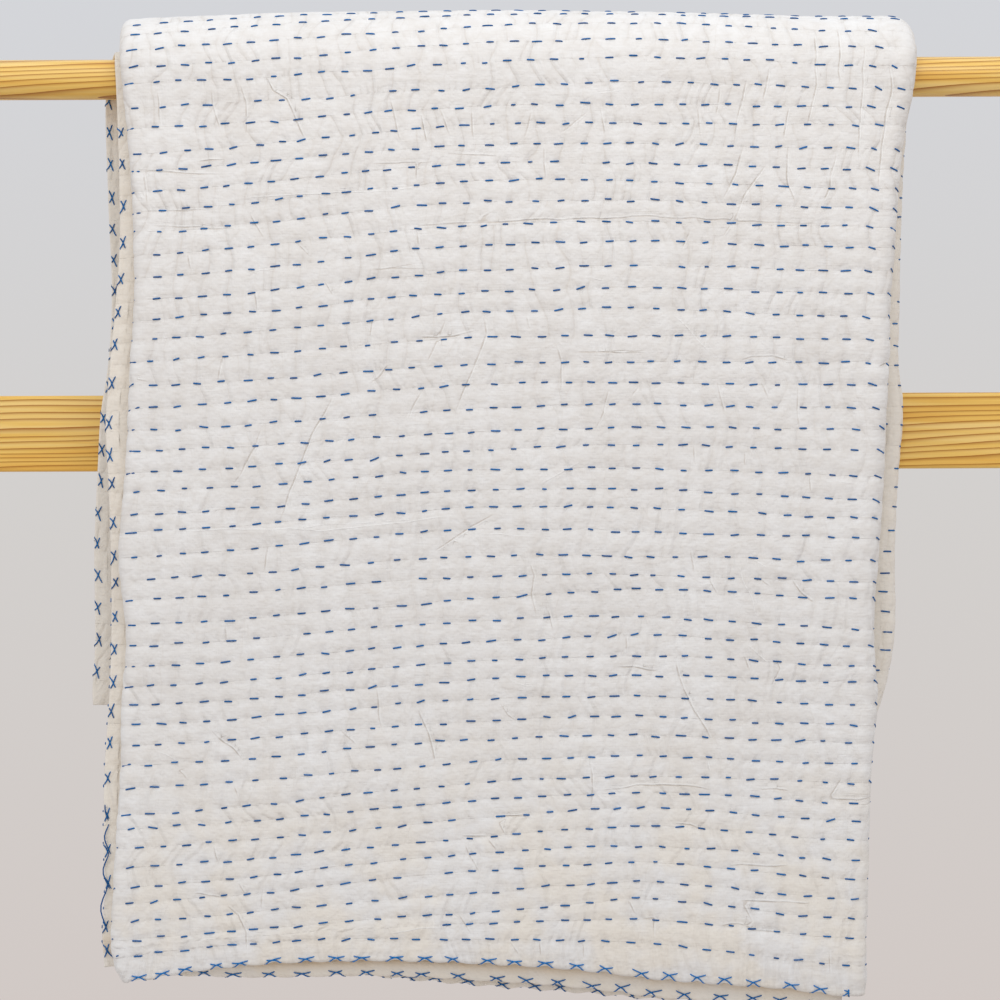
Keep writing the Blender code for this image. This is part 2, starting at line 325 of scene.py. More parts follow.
# Main creases of the front panel, by height and half width: paths of (x from the quilt's middle,
# run), in mm. A trough has a negative height, a ridge a positive one.
CREASES = (
    (-2.1, 3.2, (
        ((-202, -82), (-195, -95), (-183, -102), (-174, -123), (-168, -137)),
        ((-67, -117), (-62, -140)), ((230, -162), (212, -185), (203, -208)), ((328, -334), (335, -331)),
        ((151, -587), (157, -611), (165, -630), (177, -648), (181, -656)),
        ((-251, -647), (-240, -658), (-231, -664), (-224, -672)),
        ((283, -709), (308, -710), (318, -708)), ((-71, -631), (-65, -647), (-59, -664), (-57, -676)),
    )),
    (-2.0, 5.0, (
        ((274, -45), (274, -91), (267, -126)), ((316, -58), (314, -91), (310, -157)),
        ((338, -72), (339, -99), (335, -114), (330, -151), (327, -180)), ((295, -39), (294, -89)),
    )),
    (-1.7, 2.8, (
        ((-14, -290), (-12, -305), (-16, -317), (-21, -329), (-26, -342), (-34, -360), (-38, -372)),
        ((-144, -358), (-151, -372), (-159, -386), (-167, -402), (-175, -422), (-183, -445),
         (-190, -466)), ((-6, -461), (-22, -470), (-58, -494)), ((-69, -309), (-38, -308), (-20, -303)),
        ((210, -329), (218, -326), (237, -326), (253, -331)),
        ((86, -700), (120, -696), (140, -695), (160, -696), (181, -700)),
        ((224, -700), (237, -700), (248, -702)), ((195, -766), (206, -764), (228, -766), (248, -766)),
        ((189, -818), (205, -816), (212, -818), (218, -821), (243, -823)),
        ((205, -796), (228, -796), (267, -798)), ((150, -729), (163, -730), (174, -735)),
        ((-4, -722), (25, -722)), ((-34, -739), (-12, -739)),
        ((-264, -788), (-255, -790), (-242, -792)), ((103, -593), (138, -597)),
        ((294, -692), (283, -708)), ((214, -88), (205, -123), (203, -137)), ((234, -76), (228, -105)),
        ((251, -111), (245, -138)), ((249, -144), (249, -177), (256, -193)),
        ((291, -150), (285, -180), (280, -193)), ((211, -144), (205, -166), (194, -189)),
        ((253, -519), (260, -530), (271, -539)),
        ((-237, -798), (-227, -807), (-221, -822), (-221, -839)),
    )),
    (-1.2, 2.8, (
        ((-112, -214), (-38, -210), (-4, -209), (129, -205), (177, -207), (289, -212)),
        ((-224, -89), (-218, -105), (-218, -136)), ((-248, -93), (-246, -111), (-240, -133)),
        ((-295, -95), (-292, -126)), ((-307, -165), (-304, -193)), ((-261, -155), (-236, -155)),
        ((-316, -163), (-234, -168)), ((-312, -199), (-249, -198)), ((-306, -211), (-224, -215)),
        ((-216, -199), (-203, -222)), ((-175, -226), (-163, -238)), ((-269, -236), (-266, -251)),
        ((-20, -208), (-4, -199)), ((-44, -150), (-1, -152)), ((-110, -158), (-51, -158)),
        ((-51, -111), (-41, -137)), ((-24, -111), (-22, -140)), ((28, -114), (22, -136)),
        ((-95, -101), (-85, -140)), ((39, -144), (40, -173)), ((-71, -157), (-71, -173)),
        ((-71, -216), (-70, -230)), ((88, -111), (92, -137)), ((77, -114), (54, -132)),
        ((-112, -249), (-61, -249)), ((191, -93), (187, -119)), ((171, -109), (174, -137)),
        ((200, -212), (194, -222)), ((165, -216), (156, -234)),
        ((-212, -268), (-210, -276), (-210, -286)), ((-151, -260), (-144, -272)),
        ((-110, -291), (-113, -308)), ((-240, -323), (-243, -345)), ((-320, -343), (-304, -345)),
        ((-205, -385), (-224, -425), (-234, -440)), ((-46, -293), (-52, -309), (-64, -331)),
        ((-67, -354), (-75, -368), (-78, -379)), ((-112, -348), (-104, -342), (-96, -331)),
        ((23, -290), (25, -302)), ((48, -311), (54, -333), (51, -358)), ((121, -351), (114, -360)),
        ((95, -352), (88, -376), (82, -388)), ((63, -321), (129, -323)),
        ((188, -347), (191, -360), (195, -376)), ((226, -348), (232, -362)),
        ((257, -351), (257, -372), (259, -388)), ((243, -364), (238, -372)), ((167, -403), (168, -419)),
        ((212, -408), (211, -420)), ((267, -428), (268, -444)), ((-200, -486), (-205, -510)),
        ((-283, -679), (-275, -685), (-272, -690)), ((-108, -610), (-106, -633), (-103, -648)),
        ((-138, -648), (-125, -660)), ((-239, -553), (-237, -572)),
        ((23, -500), (29, -515), (27, -531), (31, -553)), ((39, -541), (46, -562)),
        ((0, -625), (6, -635), (13, -639)), ((76, -671), (78, -686), (78, -714)),
        ((108, -566), (109, -580)), ((163, -490), (167, -513)), ((226, -519), (234, -525)),
        ((181, -518), (187, -531)), ((210, -584), (216, -598)), ((238, -587), (242, -596), (234, -611)),
        ((-227, -779), (-221, -789)), ((-206, -783), (-207, -801)), ((-249, -746), (-244, -762)),
        ((-231, -695), (-227, -705)), ((-3, -724), (3, -738)), ((-38, -806), (-29, -818), (-26, -824)),
        ((33, -829), (34, -844)), ((71, -831), (71, -845)), ((8, -831), (15, -843)),
        ((-32, -744), (-28, -753), (-20, -769)), ((-12, -741), (-4, -751)), ((109, -794), (115, -807)),
        ((120, -811), (132, -811), (131, -829)), ((206, -795), (218, -815)), ((283, -839), (283, -862)),
    )),
    (1.7, 3.2, (
        ((-222, -187), (-188, -185), (-95, -182)),
        ((-277, -475), (-249, -473), (-167, -473), (-154, -475), (-95, -469), (-73, -466), (-38, -462)),
        ((152, -291), (162, -300), (173, -313), (181, -321)),
        ((206, -507), (212, -523), (218, -535), (222, -550)), ((214, -574), (224, -584), (231, -590)),
        ((171, -670), (179, -672), (181, -684)),
    )),
    (1.2, 2.8, (
        ((76, -100), (108, -95)), ((-112, -183), (-73, -180)), ((-214, -251), (-191, -249)),
        ((77, -256), (91, -260)), ((206, -334), (212, -342)), ((286, -432), (308, -435)),
        ((71, -415), (51, -426), (35, -434)), ((-297, -665), (-289, -668), (-279, -674)),
        ((-20, -478), (-1, -478), (35, -481)), ((8, -604), (23, -610), (35, -610)),
        ((217, -500), (231, -509)), ((-96, -823), (-71, -818), (-51, -817)),
    )),
)

# ---- Stitches, in mm ----
STITCH_COLUMNS = 72
FIRST_COLUMN = -380
STITCH_PITCH = 20.7
# Shift of the stitches along a row, in mm: a slow sway and a quicker one, both smooth noises over
# the columns and rows, a shift of the whole row, and one of each stitch
COLUMN_SWAY = 4.6
COLUMN_SWAY_CELL = (5.0, 3.2)
COLUMN_SHIFT = 2.6
COLUMN_SHIFT_CELL = 2.1
COLUMN_SHIFT_PER_ROW = 1.37
ROW_SHIFT = 2.1
ROW_SHIFT_MOST = 4
STITCH_SHIFT = 0.7
STITCH_LENGTH = 7.3
STITCH_LENGTH_SPREAD = 1.3
STITCH_LENGTH_RANGE = (3.2, 10.5)
STITCH_TILT = 0.08
STITCH_STRAY_TILT = 0.36
STITCH_STRAY_SHARE = 0.08
# Near a fold the stitches lean: (where it starts, where it is full, slope)
FOLD_TILTS = ((-312, -330, 0.28), (300, 326, -0.34))
FOLD_TILTS_WITHIN = 360
STITCH_SLIP = 0.5
STITCH_MISSING = 0.006
STITCH_SHADES = (0.1, 0.5)
THREAD_RADIUS = 0.61
THREAD_SIDES = 6
THREAD_RISE = 0.62
THREAD_DIVE = 0.9
THREAD_TIP = 0.6
THREAD_OVAL = (1.12, 0.9)
# Points of a stitch by share of its length, where it goes through the cloth, and its arch: a
# half sine to a power, made steeper and cut off at 1
STITCH_POINTS = (0.0, 0.11, 0.36, 0.64, 0.89, 1.0)
HOLE_AT = 0.08
STITCH_ARCH = (0.5, 1.5)
# Where the stitches stop, across: at the left fold, and how far past the right fold's start
STITCHES_FROM = (-358, -372)
STITCHES_PAST_FOLD = (46, 90)
# The inner ply shows its lowest rows of stitches, out to here
INNER_ROWS = 20
INNER_TO = 1080

# Cross stitches: their middles along the outer and the middle ply's front hems, by mm from the
# quilt's middle, and down the free edge on the front panel, by run
OUTER_HEM_CROSSES = (
    -312, -292, -272, -246, -225, -196, -168, -143, -121, -91, -66, -42, -11, 11, 38, 65, 89,
    120, 145, 169, 193, 218, 249, 275, 302,
)
MIDDLE_HEM_CROSSES = (
    -282, -258, -232, -201, -173, -143, -117, -90, -68, -37, -4, 21, 49, 77, 104, 130, 158,
    190, 218, 241, 272,
)
FREE_EDGE_CROSSES = (
    -126, -156, -191, -223, -256, -284, -312, -346, -380, -408, -433, -466, -495, -519, -550,
    -578, -605, -631, -659, -690, -722, -754, -782, -819, -841,
)
BACK_EDGE_CROSSES = (95, 620, 28.0)
# Slack thread past the free edge, by (x, run): start, middle and end of each loop
EDGE_LOOPS = (
    ((-345.3, -713), (-344.9, -719), (-342.3, -727)),
    ((-341.8, -730), (-345.7, -742), (-340.3, -756)),
    ((-341.8, -756), (-347.0, -771), (-341.4, -786)),
    ((-342.7, -784), (-349.0, -803), (-343.6, -821)),
    ((-345.0, -838), (-341.0, -843), (-336.0, -847)),
)
CROSS_THREAD_SHARE = 0.85
# Size of a cross in mm: half its length, half its depth, how far in it sits, and how much further
# its strokes start out over the edge
HEM_CROSS_SIZE = (8.0, 2.7, 3.6, 1.2)
EDGE_CROSS_SIZE = (6.4, 2.4, 3.4, 0.8)
STROKE_POINTS = 8
# Spread of a stroke's half length and half depth, as shares, and of its place, in mm; how much of
# that shift shows in depth; and the second stroke's share of the first one's length
STROKE_SPREAD = (0.12, 0.16, 0.7)
STROKE_SHIFT_IN_DEPTH = 0.6
SECOND_STROKE_SHARE = 0.78
# The first part of a stroke that bends on round the edge, and how steeply
STROKE_WRAP = (0.35, 4)
PAST_EDGE = 0.8
# The line at which the free edge's width is measured, and how much of the cloth's grid the grids
# over a hem and over the free edge take in
MEASURED_LINE = 200
WRAPPED_LINES = 14
WRAPPED_PLACES = 6
CROSS_PITCH = 27.5
CROSS_PITCH_SPREAD = 3.0
# Ends of the evenly spaced crosses on the hems that are out of sight
EVEN_CROSSES = (-330, 331)
# Shades of the crosses' threads, as a spread and as a range, and that of slack thread
CROSS_SHADE_SPREAD = 0.1
EDGE_CROSS_SHADES = (0.1, 0.7)
LOOP_SHADE = 0.15
LOOPS_BEHIND = 0.004
SCALLOP = 1.1
SCALLOP_DEPTH_ROWS = 0.5
SCALLOP_DRIFT = 60


def curve(table, at, column=1):
    """Smooth curve through one column of a table, read at places along its first column.

    Between two rows it is a cubic whose end slopes are the table's own mean slopes there.
    """
    places = np.array([row[0] for row in table], float)
    values = np.array([row[column] for row in table], float)
    slopes = np.gradient(values, places)
    at = np.clip(at, places[0], places[-1])
    low = np.clip(np.searchsorted(places, at) - 1, 0, len(places) - 2)
    width = places[low + 1] - places[low]
    t = (at - places[low]) / width
    ease = t * t * (3 - 2 * t)
    start = t * (1 - t) ** 2 * width
    end = t * t * (t - 1) * width
    level = values[low] * (1 - ease) + values[low + 1] * ease
    return level + slopes[low] * start + slopes[low + 1] * end


def edge(name, run):
    """One edge of the folded quilt, in metres from its middle, at a run in mm."""
    return curve(EDGES, run, EDGE_COLUMNS.index(name)) * MM


def ease_in(share):
    """Smooth step from 0 to 1."""
    share = np.clip(share, 0, 1)
    return share * share * (3 - 2 * share)


def bump(distance, width):
    """Bell of height 1: e to the power of minus (distance / width) squared."""
    return np.exp(-(distance / width) ** 2)


def soft_noise(u, v, seed):
    """Smooth noise from -1 to 1: random heights on a unit grid, eased between its corners."""
    table = np.random.default_rng(seed).uniform(-1, 1, (128, 128))
    u, v = np.broadcast_arrays(u, v)
    i, j = np.floor(u).astype(int), np.floor(v).astype(int)
    a, b = ease_in(u - i), ease_in(v - j)
    low = table[i % 128, j % 128] * (1 - a) + table[(i + 1) % 128, j % 128] * a
    high = table[i % 128, (j + 1) % 128] * (1 - a) + table[(i + 1) % 128, (j + 1) % 128] * a
    return low * (1 - b) + high * b


def local_run(middle_run, x_mm):
    """Run of a line across the outer ply at x, from its run at the quilt's middle, all in mm."""
    left = np.clip((LEFT_DROOP_FROM - x_mm) / DROOP_HALF_WIDTH, 0, None) ** LEFT_DROOP_POWER
    right_width = DROOP_HALF_WIDTH - RIGHT_DROOP_FROM
    right = np.clip((x_mm - RIGHT_DROOP_FROM) / right_width, 0, None) ** RIGHT_DROOP_POWER
    row = curve(DROOPS, middle_run, DROOP_COLUMNS.index("left")) * left
    row = row + curve(DROOPS, middle_run, DROOP_COLUMNS.index("right")) * right
    front = ease_in((FRONT_HEM_RUN + HEM_BLEND - middle_run) / HEM_BLEND)
    back = ease_in((middle_run - BACK_HEM_RUN + HEM_BLEND) / HEM_BLEND)
    droop = row * (1 - front - back) + curve(FRONT_HEM, x_mm) * front + curve(BACK_HEM, x_mm) * back
    return middle_run + np.where(middle_run < 0, -droop, droop)


def grid_lines():
    """Row coordinate of each line: -1 at the front hem, 0 to 81 on the rows, 82 at the back hem."""
    hem = np.array(HEM_LINES)
    bands = [hem - 1]
    bands += [row + np.array(FRONT_LINES) for row in range(BACK_LINES_FROM_ROW)]
    bands += [row + np.array(BACK_LINES) for row in range(BACK_LINES_FROM_ROW, LAST_ROW)]
    bands += [[LAST_ROW], LAST_ROW + 1 - hem[::-1]]
    return np.concatenate(bands)


@lru_cache(maxsize=None)
def row_tables():
    """Run of every row at its stations across: the front's as given, the back's evenly spaced.

    The stations are the four places of the front's table and one more beyond each side.
    """
    given = np.array(FRONT_ROWS, float)
    left_end = given[:, :1] + END_CARRY[0] * (given[:, :1] - given[:, 1:2])
    left_end = left_end - LEFT_END_DROP * np.exp(-np.arange(len(given)) / LEFT_END_DROP_ROWS)[:, None]
    right_end = given[:, 3:] + END_CARRY[1] * (given[:, 3:] - given[:, 2:3])
    front = np.hstack([left_end, given, right_end])
    stations = np.array([END_PLACES[0], *ROW_PLACES, END_PLACES[1]], float)
    count = LAST_ROW + 1 - len(FRONT_ROWS)
    back = np.linspace(front[-1, 2], LAST_ROW_RUN, count + 1)[1:]
    back[:-1] += np.random.default_rng(SEED).uniform(-BACK_ROW_SHIFT, BACK_ROW_SHIFT, count - 1)
    fade = np.exp(-np.arange(1, count + 1) / BACK_BLEND_ROWS)[:, None]
    from_front = fade * (front[-1] - front[-1, 2])
    return stations, np.vstack([front, local_run(back[:, None], stations[None]) + from_front])


def line_runs(rho, x_mm):
    """Run of each line at x: its two rows' curves across the quilt, mixed by its share.

    Each row is a smooth curve through its stations. The two hems have curves of their own.
    """
    stations, rows = row_tables()
    band = np.clip(np.floor(rho).astype(int), -1, LAST_ROW)
    t = (rho - band)[:, None]

    def row_curve(row):
        values = rows[np.clip(row, 0, LAST_ROW)]
        slopes = np.gradient(values, stations, axis=1)
        at = np.clip(x_mm, stations[0], stations[-1])
        low = np.clip(np.searchsorted(stations, at) - 1, 0, len(stations) - 2)
        width = stations[low + 1] - stations[low]
        s = (at - stations[low]) / width
        ease = s * s * (3 - 2 * s)
        here = np.arange(len(rho))[:, None]
        level = values[here, low] * (1 - ease) + values[here, low + 1] * ease
        bend = slopes[here, low] * s * (1 - s) ** 2 + slopes[here, low + 1] * s * s * (s - 1)
        return level + bend * width

    front_hem, back_hem = FRONT_HEM_RUN - curve(FRONT_HEM, x_mm), BACK_HEM_RUN + curve(BACK_HEM, x_mm)
    low_run = np.where(band[:, None] < 0, front_hem, row_curve(band))
    high_run = np.where(band[:, None] >= LAST_ROW, back_hem, row_curve(band + 1))
    return low_run * (1 - t) + high_run * t, high_run - low_run


def draped(x, offset, run):
    """Place points on the drape: x from the quilt's middle, offset from the bar, run in mm.

    Over the bar a point turns about the bar's axis; past a quarter turn it falls straight down.
    """
    run_m = run * MM
    angle = np.clip(run_m / OUTER_PLY_RADIUS, -math.pi / 2, math.pi / 2)
    fall = np.abs(run_m) - np.abs(angle) * OUTER_PLY_RADIUS
    y = offset * np.sin(angle) + curve(SWAY, run) * MM
    z = offset * np.cos(angle) - fall
    return np.stack([x + QUILT_MIDDLE_X, y, z], axis=-1)


def folded_section(rho):
    """Centre line of the folded cloth at each line, from the tucked edge to the free edge.

    Straight plies joined by half circles. Gives x and offset, the direction to face a (out_x,
    out_offset), the flat distance across the cloth in mm, and which part each place is on.
    """
    at = np.tile(np.array([0, LEFT_FOLD_X, RIGHT_FOLD_X, FREE_EDGE_X], float), (len(rho), 1))
    run, left_run, right_run, free_run = np.hsplit(line_runs(rho, at)[0], 4)
    step = PLY_STEP_PANEL + (PLY_STEP_CROWN - PLY_STEP_PANEL) * bump(run * MM, CROWN_REACH)
    inner = np.full_like(run, INNER_PLY_OFFSET)
    middle, outer = inner + step, inner + 2 * step
    left_radius, right_radius = step / 2, step
    left_x = edge("left_fold", left_run) + left_radius + PLY_PUFF / 2
    right_x = edge("right_fold", right_run) - right_radius - PLY_PUFF / 2
    free_x = edge("free_edge", free_run)
    tucked_x = edge("tucked_edge", run)
    taper_x = free_x + FREE_EDGE_TAPER
    ones = np.ones_like(run)

    def shares(steps):
        return np.arange(steps)[None, :] / steps

    s = shares(MIDDLE_STEPS)
    x = tucked_x + (left_x - tucked_x) * s
    across = left_x - math.pi * left_radius - (x - left_x)
    blocks = [(x, middle + 0 * s, 0 * x, 0 * x - 1, across, MIDDLE_PLY)]
    s = shares(LEFT_FOLD_STEPS)
    out, up = np.cos(math.pi * (s - 0.5)), np.sin(math.pi * (s - 0.5))
    x = left_x - left_radius * out
    blocks.append((x, (outer + middle) / 2 + left_radius * up, -out * ones, up * ones,
                   left_x - math.pi * left_radius * (1 - s), LEFT_FOLD))
    s = shares(OUTER_STEPS)
    x = left_x + (right_x - left_x) * s
    blocks.append((x, outer + 0 * s, 0 * x, 0 * x + 1, x, OUTER_PLY))
    s = shares(RIGHT_FOLD_STEPS)
    out, up = np.cos(math.pi * (0.5 - s)), np.sin(math.pi * (0.5 - s))
    x = right_x + right_radius * out
    blocks.append((x, (outer + inner) / 2 + right_radius * up, out * ones, up * ones,
                   right_x + math.pi * right_radius * s, RIGHT_FOLD))
    s = shares(INNER_STEPS)
    x = right_x + (taper_x - right_x) * s
    x = np.hstack([x, taper_x, free_x + np.array(FREE_EDGE_MM)[None, :] * MM])
    across = right_x + math.pi * right_radius + right_x - x
    blocks.append((x, inner + 0 * x, 0 * x, 0 * x - 1, across, INNER_PLY))
    parts = [np.hstack([block[part] for block in blocks]) for part in range(5)]
    ply = np.concatenate([np.full(block[0].shape[1], block[5]) for block in blocks])
    parts[4] = parts[4] / MM
    return run, parts, ply


def hem_round(distance_mm, full, hem):
    """Half thickness near a raw edge: a round lip of the hem's half thickness, then a swell."""
    lip = hem * np.sqrt(np.clip(1 - (1 - np.clip(distance_mm / hem, 0.02, 1)) ** 2, 0, 1))
    return lip + (full - hem) * ease_in((distance_mm - hem) / LIP_SWELL)


@lru_cache(maxsize=None)
def row_stitches(row):
    """Running stitches of one row: middles, lengths, tilts, slips, shades and whether kept.

    The stitches stand in columns, as each row follows the last one's count, and the columns sway
    slowly. Puckers leave each stitch upward and downward with a lean, reach and strength.
    """
    rng = np.random.default_rng(SEED * 1000 + row)
    count = STITCH_COLUMNS
    column = np.arange(count)
    at = FIRST_COLUMN + STITCH_PITCH * column
    sway_columns, sway_rows = COLUMN_SWAY_CELL
    at = at + COLUMN_SWAY * soft_noise(column / sway_columns, row / sway_rows, SEED + 20)
    course = row * COLUMN_SHIFT_PER_ROW
    at = at + COLUMN_SHIFT * soft_noise(column / COLUMN_SHIFT_CELL, course, SEED + 21)
    at = at + np.clip(rng.normal(0, ROW_SHIFT), -ROW_SHIFT_MOST, ROW_SHIFT_MOST)
    at = at + rng.normal(0, STITCH_SHIFT, count)
    length = np.clip(rng.normal(STITCH_LENGTH, STITCH_LENGTH_SPREAD, count), *STITCH_LENGTH_RANGE)
    tilt = rng.normal(0, STITCH_TILT, count)
    stray = rng.random(count) < STITCH_STRAY_SHARE
    tilt = np.where(stray, rng.uniform(-0.5, 1.0, count) * STITCH_STRAY_TILT, tilt)
    for start, end, lean in FOLD_TILTS:
        tilt = tilt + lean * ease_in((at - start) / (end - start)) * (np.abs(at) < FOLD_TILTS_WITHIN)
    slip = rng.normal(0, STITCH_SLIP, count)
    shade = STITCH_SHADES[0] + STITCH_SHADES[1] * rng.random(count)
    kept = rng.random(count) > STITCH_MISSING
    if row == SHORT_ROW:
        kept &= (at > SHORT_ROW_FROM) & (at < SHORT_ROW_TO)
    lean = rng.uniform(-PUCKER_LEAN, PUCKER_LEAN, (2, count)) + rng.normal(0, ROW_LEAN)
    reach = rng.uniform(*PUCKER_REACH, (2, count))
    strength = rng.uniform(*PUCKER_STRENGTH, (2, count))
    begin = rng.uniform(-0.5, 0.5, (2, count)) * length
    return np.stack([at, length, tilt, slip, shade, kept]), np.stack([lean, reach, strength, begin])


def stitch_columns(rho, across):
    """Column coordinate at each point: a whole number at every stitch, mixed between two rows."""
    band = np.clip(np.floor(rho).astype(int), 0, LAST_ROW)
    t = np.clip(rho - band, 0, 1)[:, None]
    column = np.arange(STITCH_COLUMNS)
    middles = [row_stitches(min(row, LAST_ROW))[0][0] for row in range(LAST_ROW + 2)]
    counted = np.array([[np.interp(line, middles[row], column) for row in (low, low + 1)]
                        for line, low in zip(across, band)])
    return counted[:, 0] * (1 - t) + counted[:, 1] * t


def stitch_relief(rho, across, band_mm):
    """How the stitches draw the cloth in: pull at a stitch, lift between them, and puckers.

    Beside each row, u is the distance from the row line and d the distance along it from the
    nearest stitches. A pucker is a narrow trough that leaves its stitch at a lean and dies away.
    """
    relief = np.zeros_like(across)
    pinch = np.zeros_like(across)
    for row in range(LAST_ROW + 1):
        block = np.nonzero(np.abs(rho - row) < ROW_RELIEF_REACH)[0]
        if row == 0:
            block = np.nonzero((rho > FIRST_ROW_RELIEF_FROM) & (rho < ROW_RELIEF_REACH))[0]
        u = (rho[block] - row)[:, None] * band_mm[block]
        a = across[block]
        stitches, puckers = row_stitches(row)
        at, length, kept = stitches[0], stitches[1], stitches[5]
        after = np.clip(np.searchsorted(at, a), 1, len(at) - 1)
        up = (u > 0).astype(int)
        held = np.zeros_like(a)
        trough = np.zeros_like(a)
        for near in (after - 1, after):
            d = a - at[near]
            reached = np.clip(np.abs(d) - length[near] / 2, 0, None)
            held = np.maximum(held, kept[near] * bump(reached, STITCH_HOLD))
            lean, reach = puckers[0][up, near], puckers[1][up, near]
            strength, start = puckers[2][up, near], puckers[3][up, near]
            fade = np.clip(1 - np.abs(u) / reach, 0, 1) ** PUCKER_FADE_POWER
            trough = np.maximum(trough, strength * fade * bump(d - start - lean * u, PUCKER_WIDTH))
        groove = bump(u, ROW_GROOVE)
        if row == SHORT_ROW:
            begun = ease_in((a - SHORT_ROW_FROM + SHORT_ROW_FADE[0]) / SHORT_ROW_FADE[1])
            groove, trough = groove * begun, trough * begun
        relief[block] += groove * (GAP_LIFT * (1 - held) - STITCH_PULL * held)
        relief[block] -= PUCKER_DEPTH * trough * (1 - PUCKER_LOSS_IN_GROOVE * groove)
        pinched = np.maximum(PINCH_SHARES[0] * groove * held, PINCH_SHARES[1] * trough)
        pinch[block] = np.maximum(pinch[block], pinched)
    return relief, pinch


def beside_path(x, run, points):
    """Where each point lies by a path of straight stretches.

    Gives the distance to its nearest stretch, the side of it (1 or -1), whether the point is
    lower than the path there, and the share of the path's length walked so far.
    """
    steps = np.diff(points, axis=0)
    lengths = np.linalg.norm(steps, axis=1)
    walked = np.concatenate(([0], np.cumsum(lengths)))
    best = np.full_like(x, np.inf)
    side, below, along = np.zeros_like(x), np.zeros_like(x), np.zeros_like(x)
    for (x0, run0), (dx, dr), length, start in zip(points, steps, lengths, walked):
        dx, dr = dx / length, dr / length
        t = np.clip((x - x0) * dx + (run - run0) * dr, 0, length)
        away_x, away_run = x - x0 - t * dx, run - run0 - t * dr
        distance = np.hypot(away_x, away_run)
        nearer = distance < best
        best = np.where(nearer, distance, best)
        side = np.where(nearer, np.sign(away_x * dr - away_run * dx), side)
        below = np.where(nearer, away_run < 0, below)
        along = np.where(nearer, (start + t) / walked[-1], along)
    return best, side, below, along


def crease_relief(x_mm, run):
    """Main creases at points of the front panel: their relief, and two maps that sharpen them.

    A crease's height falls off as a bell with the distance from its path, and a trough has a low
    lip on its lower side that catches the light. The maps are the signed distance from the
    nearest path, and that path's height where it is near.
    """
    relief = np.zeros_like(x_mm)
    nearest = np.full_like(x_mm, CREASE_REACH)
    signed = np.full_like(x_mm, CREASE_REACH)
    depth = np.zeros_like(x_mm)
    amount, along, beside = CREASE_WANDER
    x_mm = x_mm + amount * soft_noise(run / along, x_mm / beside, SEED + 31)
    run = run + amount * soft_noise(x_mm / along, run / beside, SEED + 32)
    amount, cell = CREASE_UNEVEN
    uneven = 1 + amount * soft_noise(x_mm / cell, run / cell, SEED + 33)
    for height, half_width, paths in CREASES:
        for path in paths:
            points = np.array(path, float)
            reach = CREASE_BELL_REACH * half_width
            near = ((x_mm > points[:, 0].min() - reach) & (x_mm < points[:, 0].max() + reach)
                    & (run > points[:, 1].min() - reach) & (run < points[:, 1].max() + reach))
            best, side, below, along = beside_path(x_mm[near], run[near], points)
            swell = np.sin(math.pi * np.clip(along, 0.001, 0.999)) ** CREASE_END_POWER
            body = bump(best, half_width) * (CREASE_END_SHARE + (1 - CREASE_END_SHARE) * swell)
            lip = bump(best - CREASE_LIP_AT * half_width, half_width) * below * swell
            deep = CREASE_SHARE * height * uneven[near]
            relief[near] += deep * body - (CREASE_LIP_SHARE * deep * lip if height < 0 else 0)
            closer = best < nearest[near]
            nearest[near] = np.where(closer, best, nearest[near])
            signed[near] = np.where(closer, best * side, signed[near])
            here = height * swell * bump(best, CREASE_REACH * CREASE_DEPTH_REACH)
            depth[near] = np.where(closer, here, depth[near])
    return relief, np.clip(signed, -CREASE_REACH, CREASE_REACH), depth


def hung_runs(rho, middle_run, x_mm, across, ply, line_run):
    """Run of each point: its line's, moved by the rows' wander and by the plies' uneven hems.

    The wander is a smooth noise along each line that dies away at both hems.
    """
    course = rho[:, None] * ROW_WANDER_PER_ROW + 0.3
    wander = ROW_WANDER * soft_noise(across / ROW_WANDER_LENGTH, course, SEED)
    ends = ease_in((rho + 1) / ROW_WANDER_FADE) * ease_in((LAST_ROW + 1 - rho) / ROW_WANDER_FADE)
    hem = ease_in((FRONT_HEM_RUN + HEM_BLEND - middle_run) / HEM_BLEND)
    drop = np.where(ply == MIDDLE_PLY, curve(MIDDLE_PLY_DROP, x_mm), 0)
    drop = drop + np.where(ply == INNER_PLY, curve(INNER_PLY_DROP, x_mm), 0)
    return line_run - hem * drop + wander * ends[:, None] - scallops(rho, x_mm, ply)


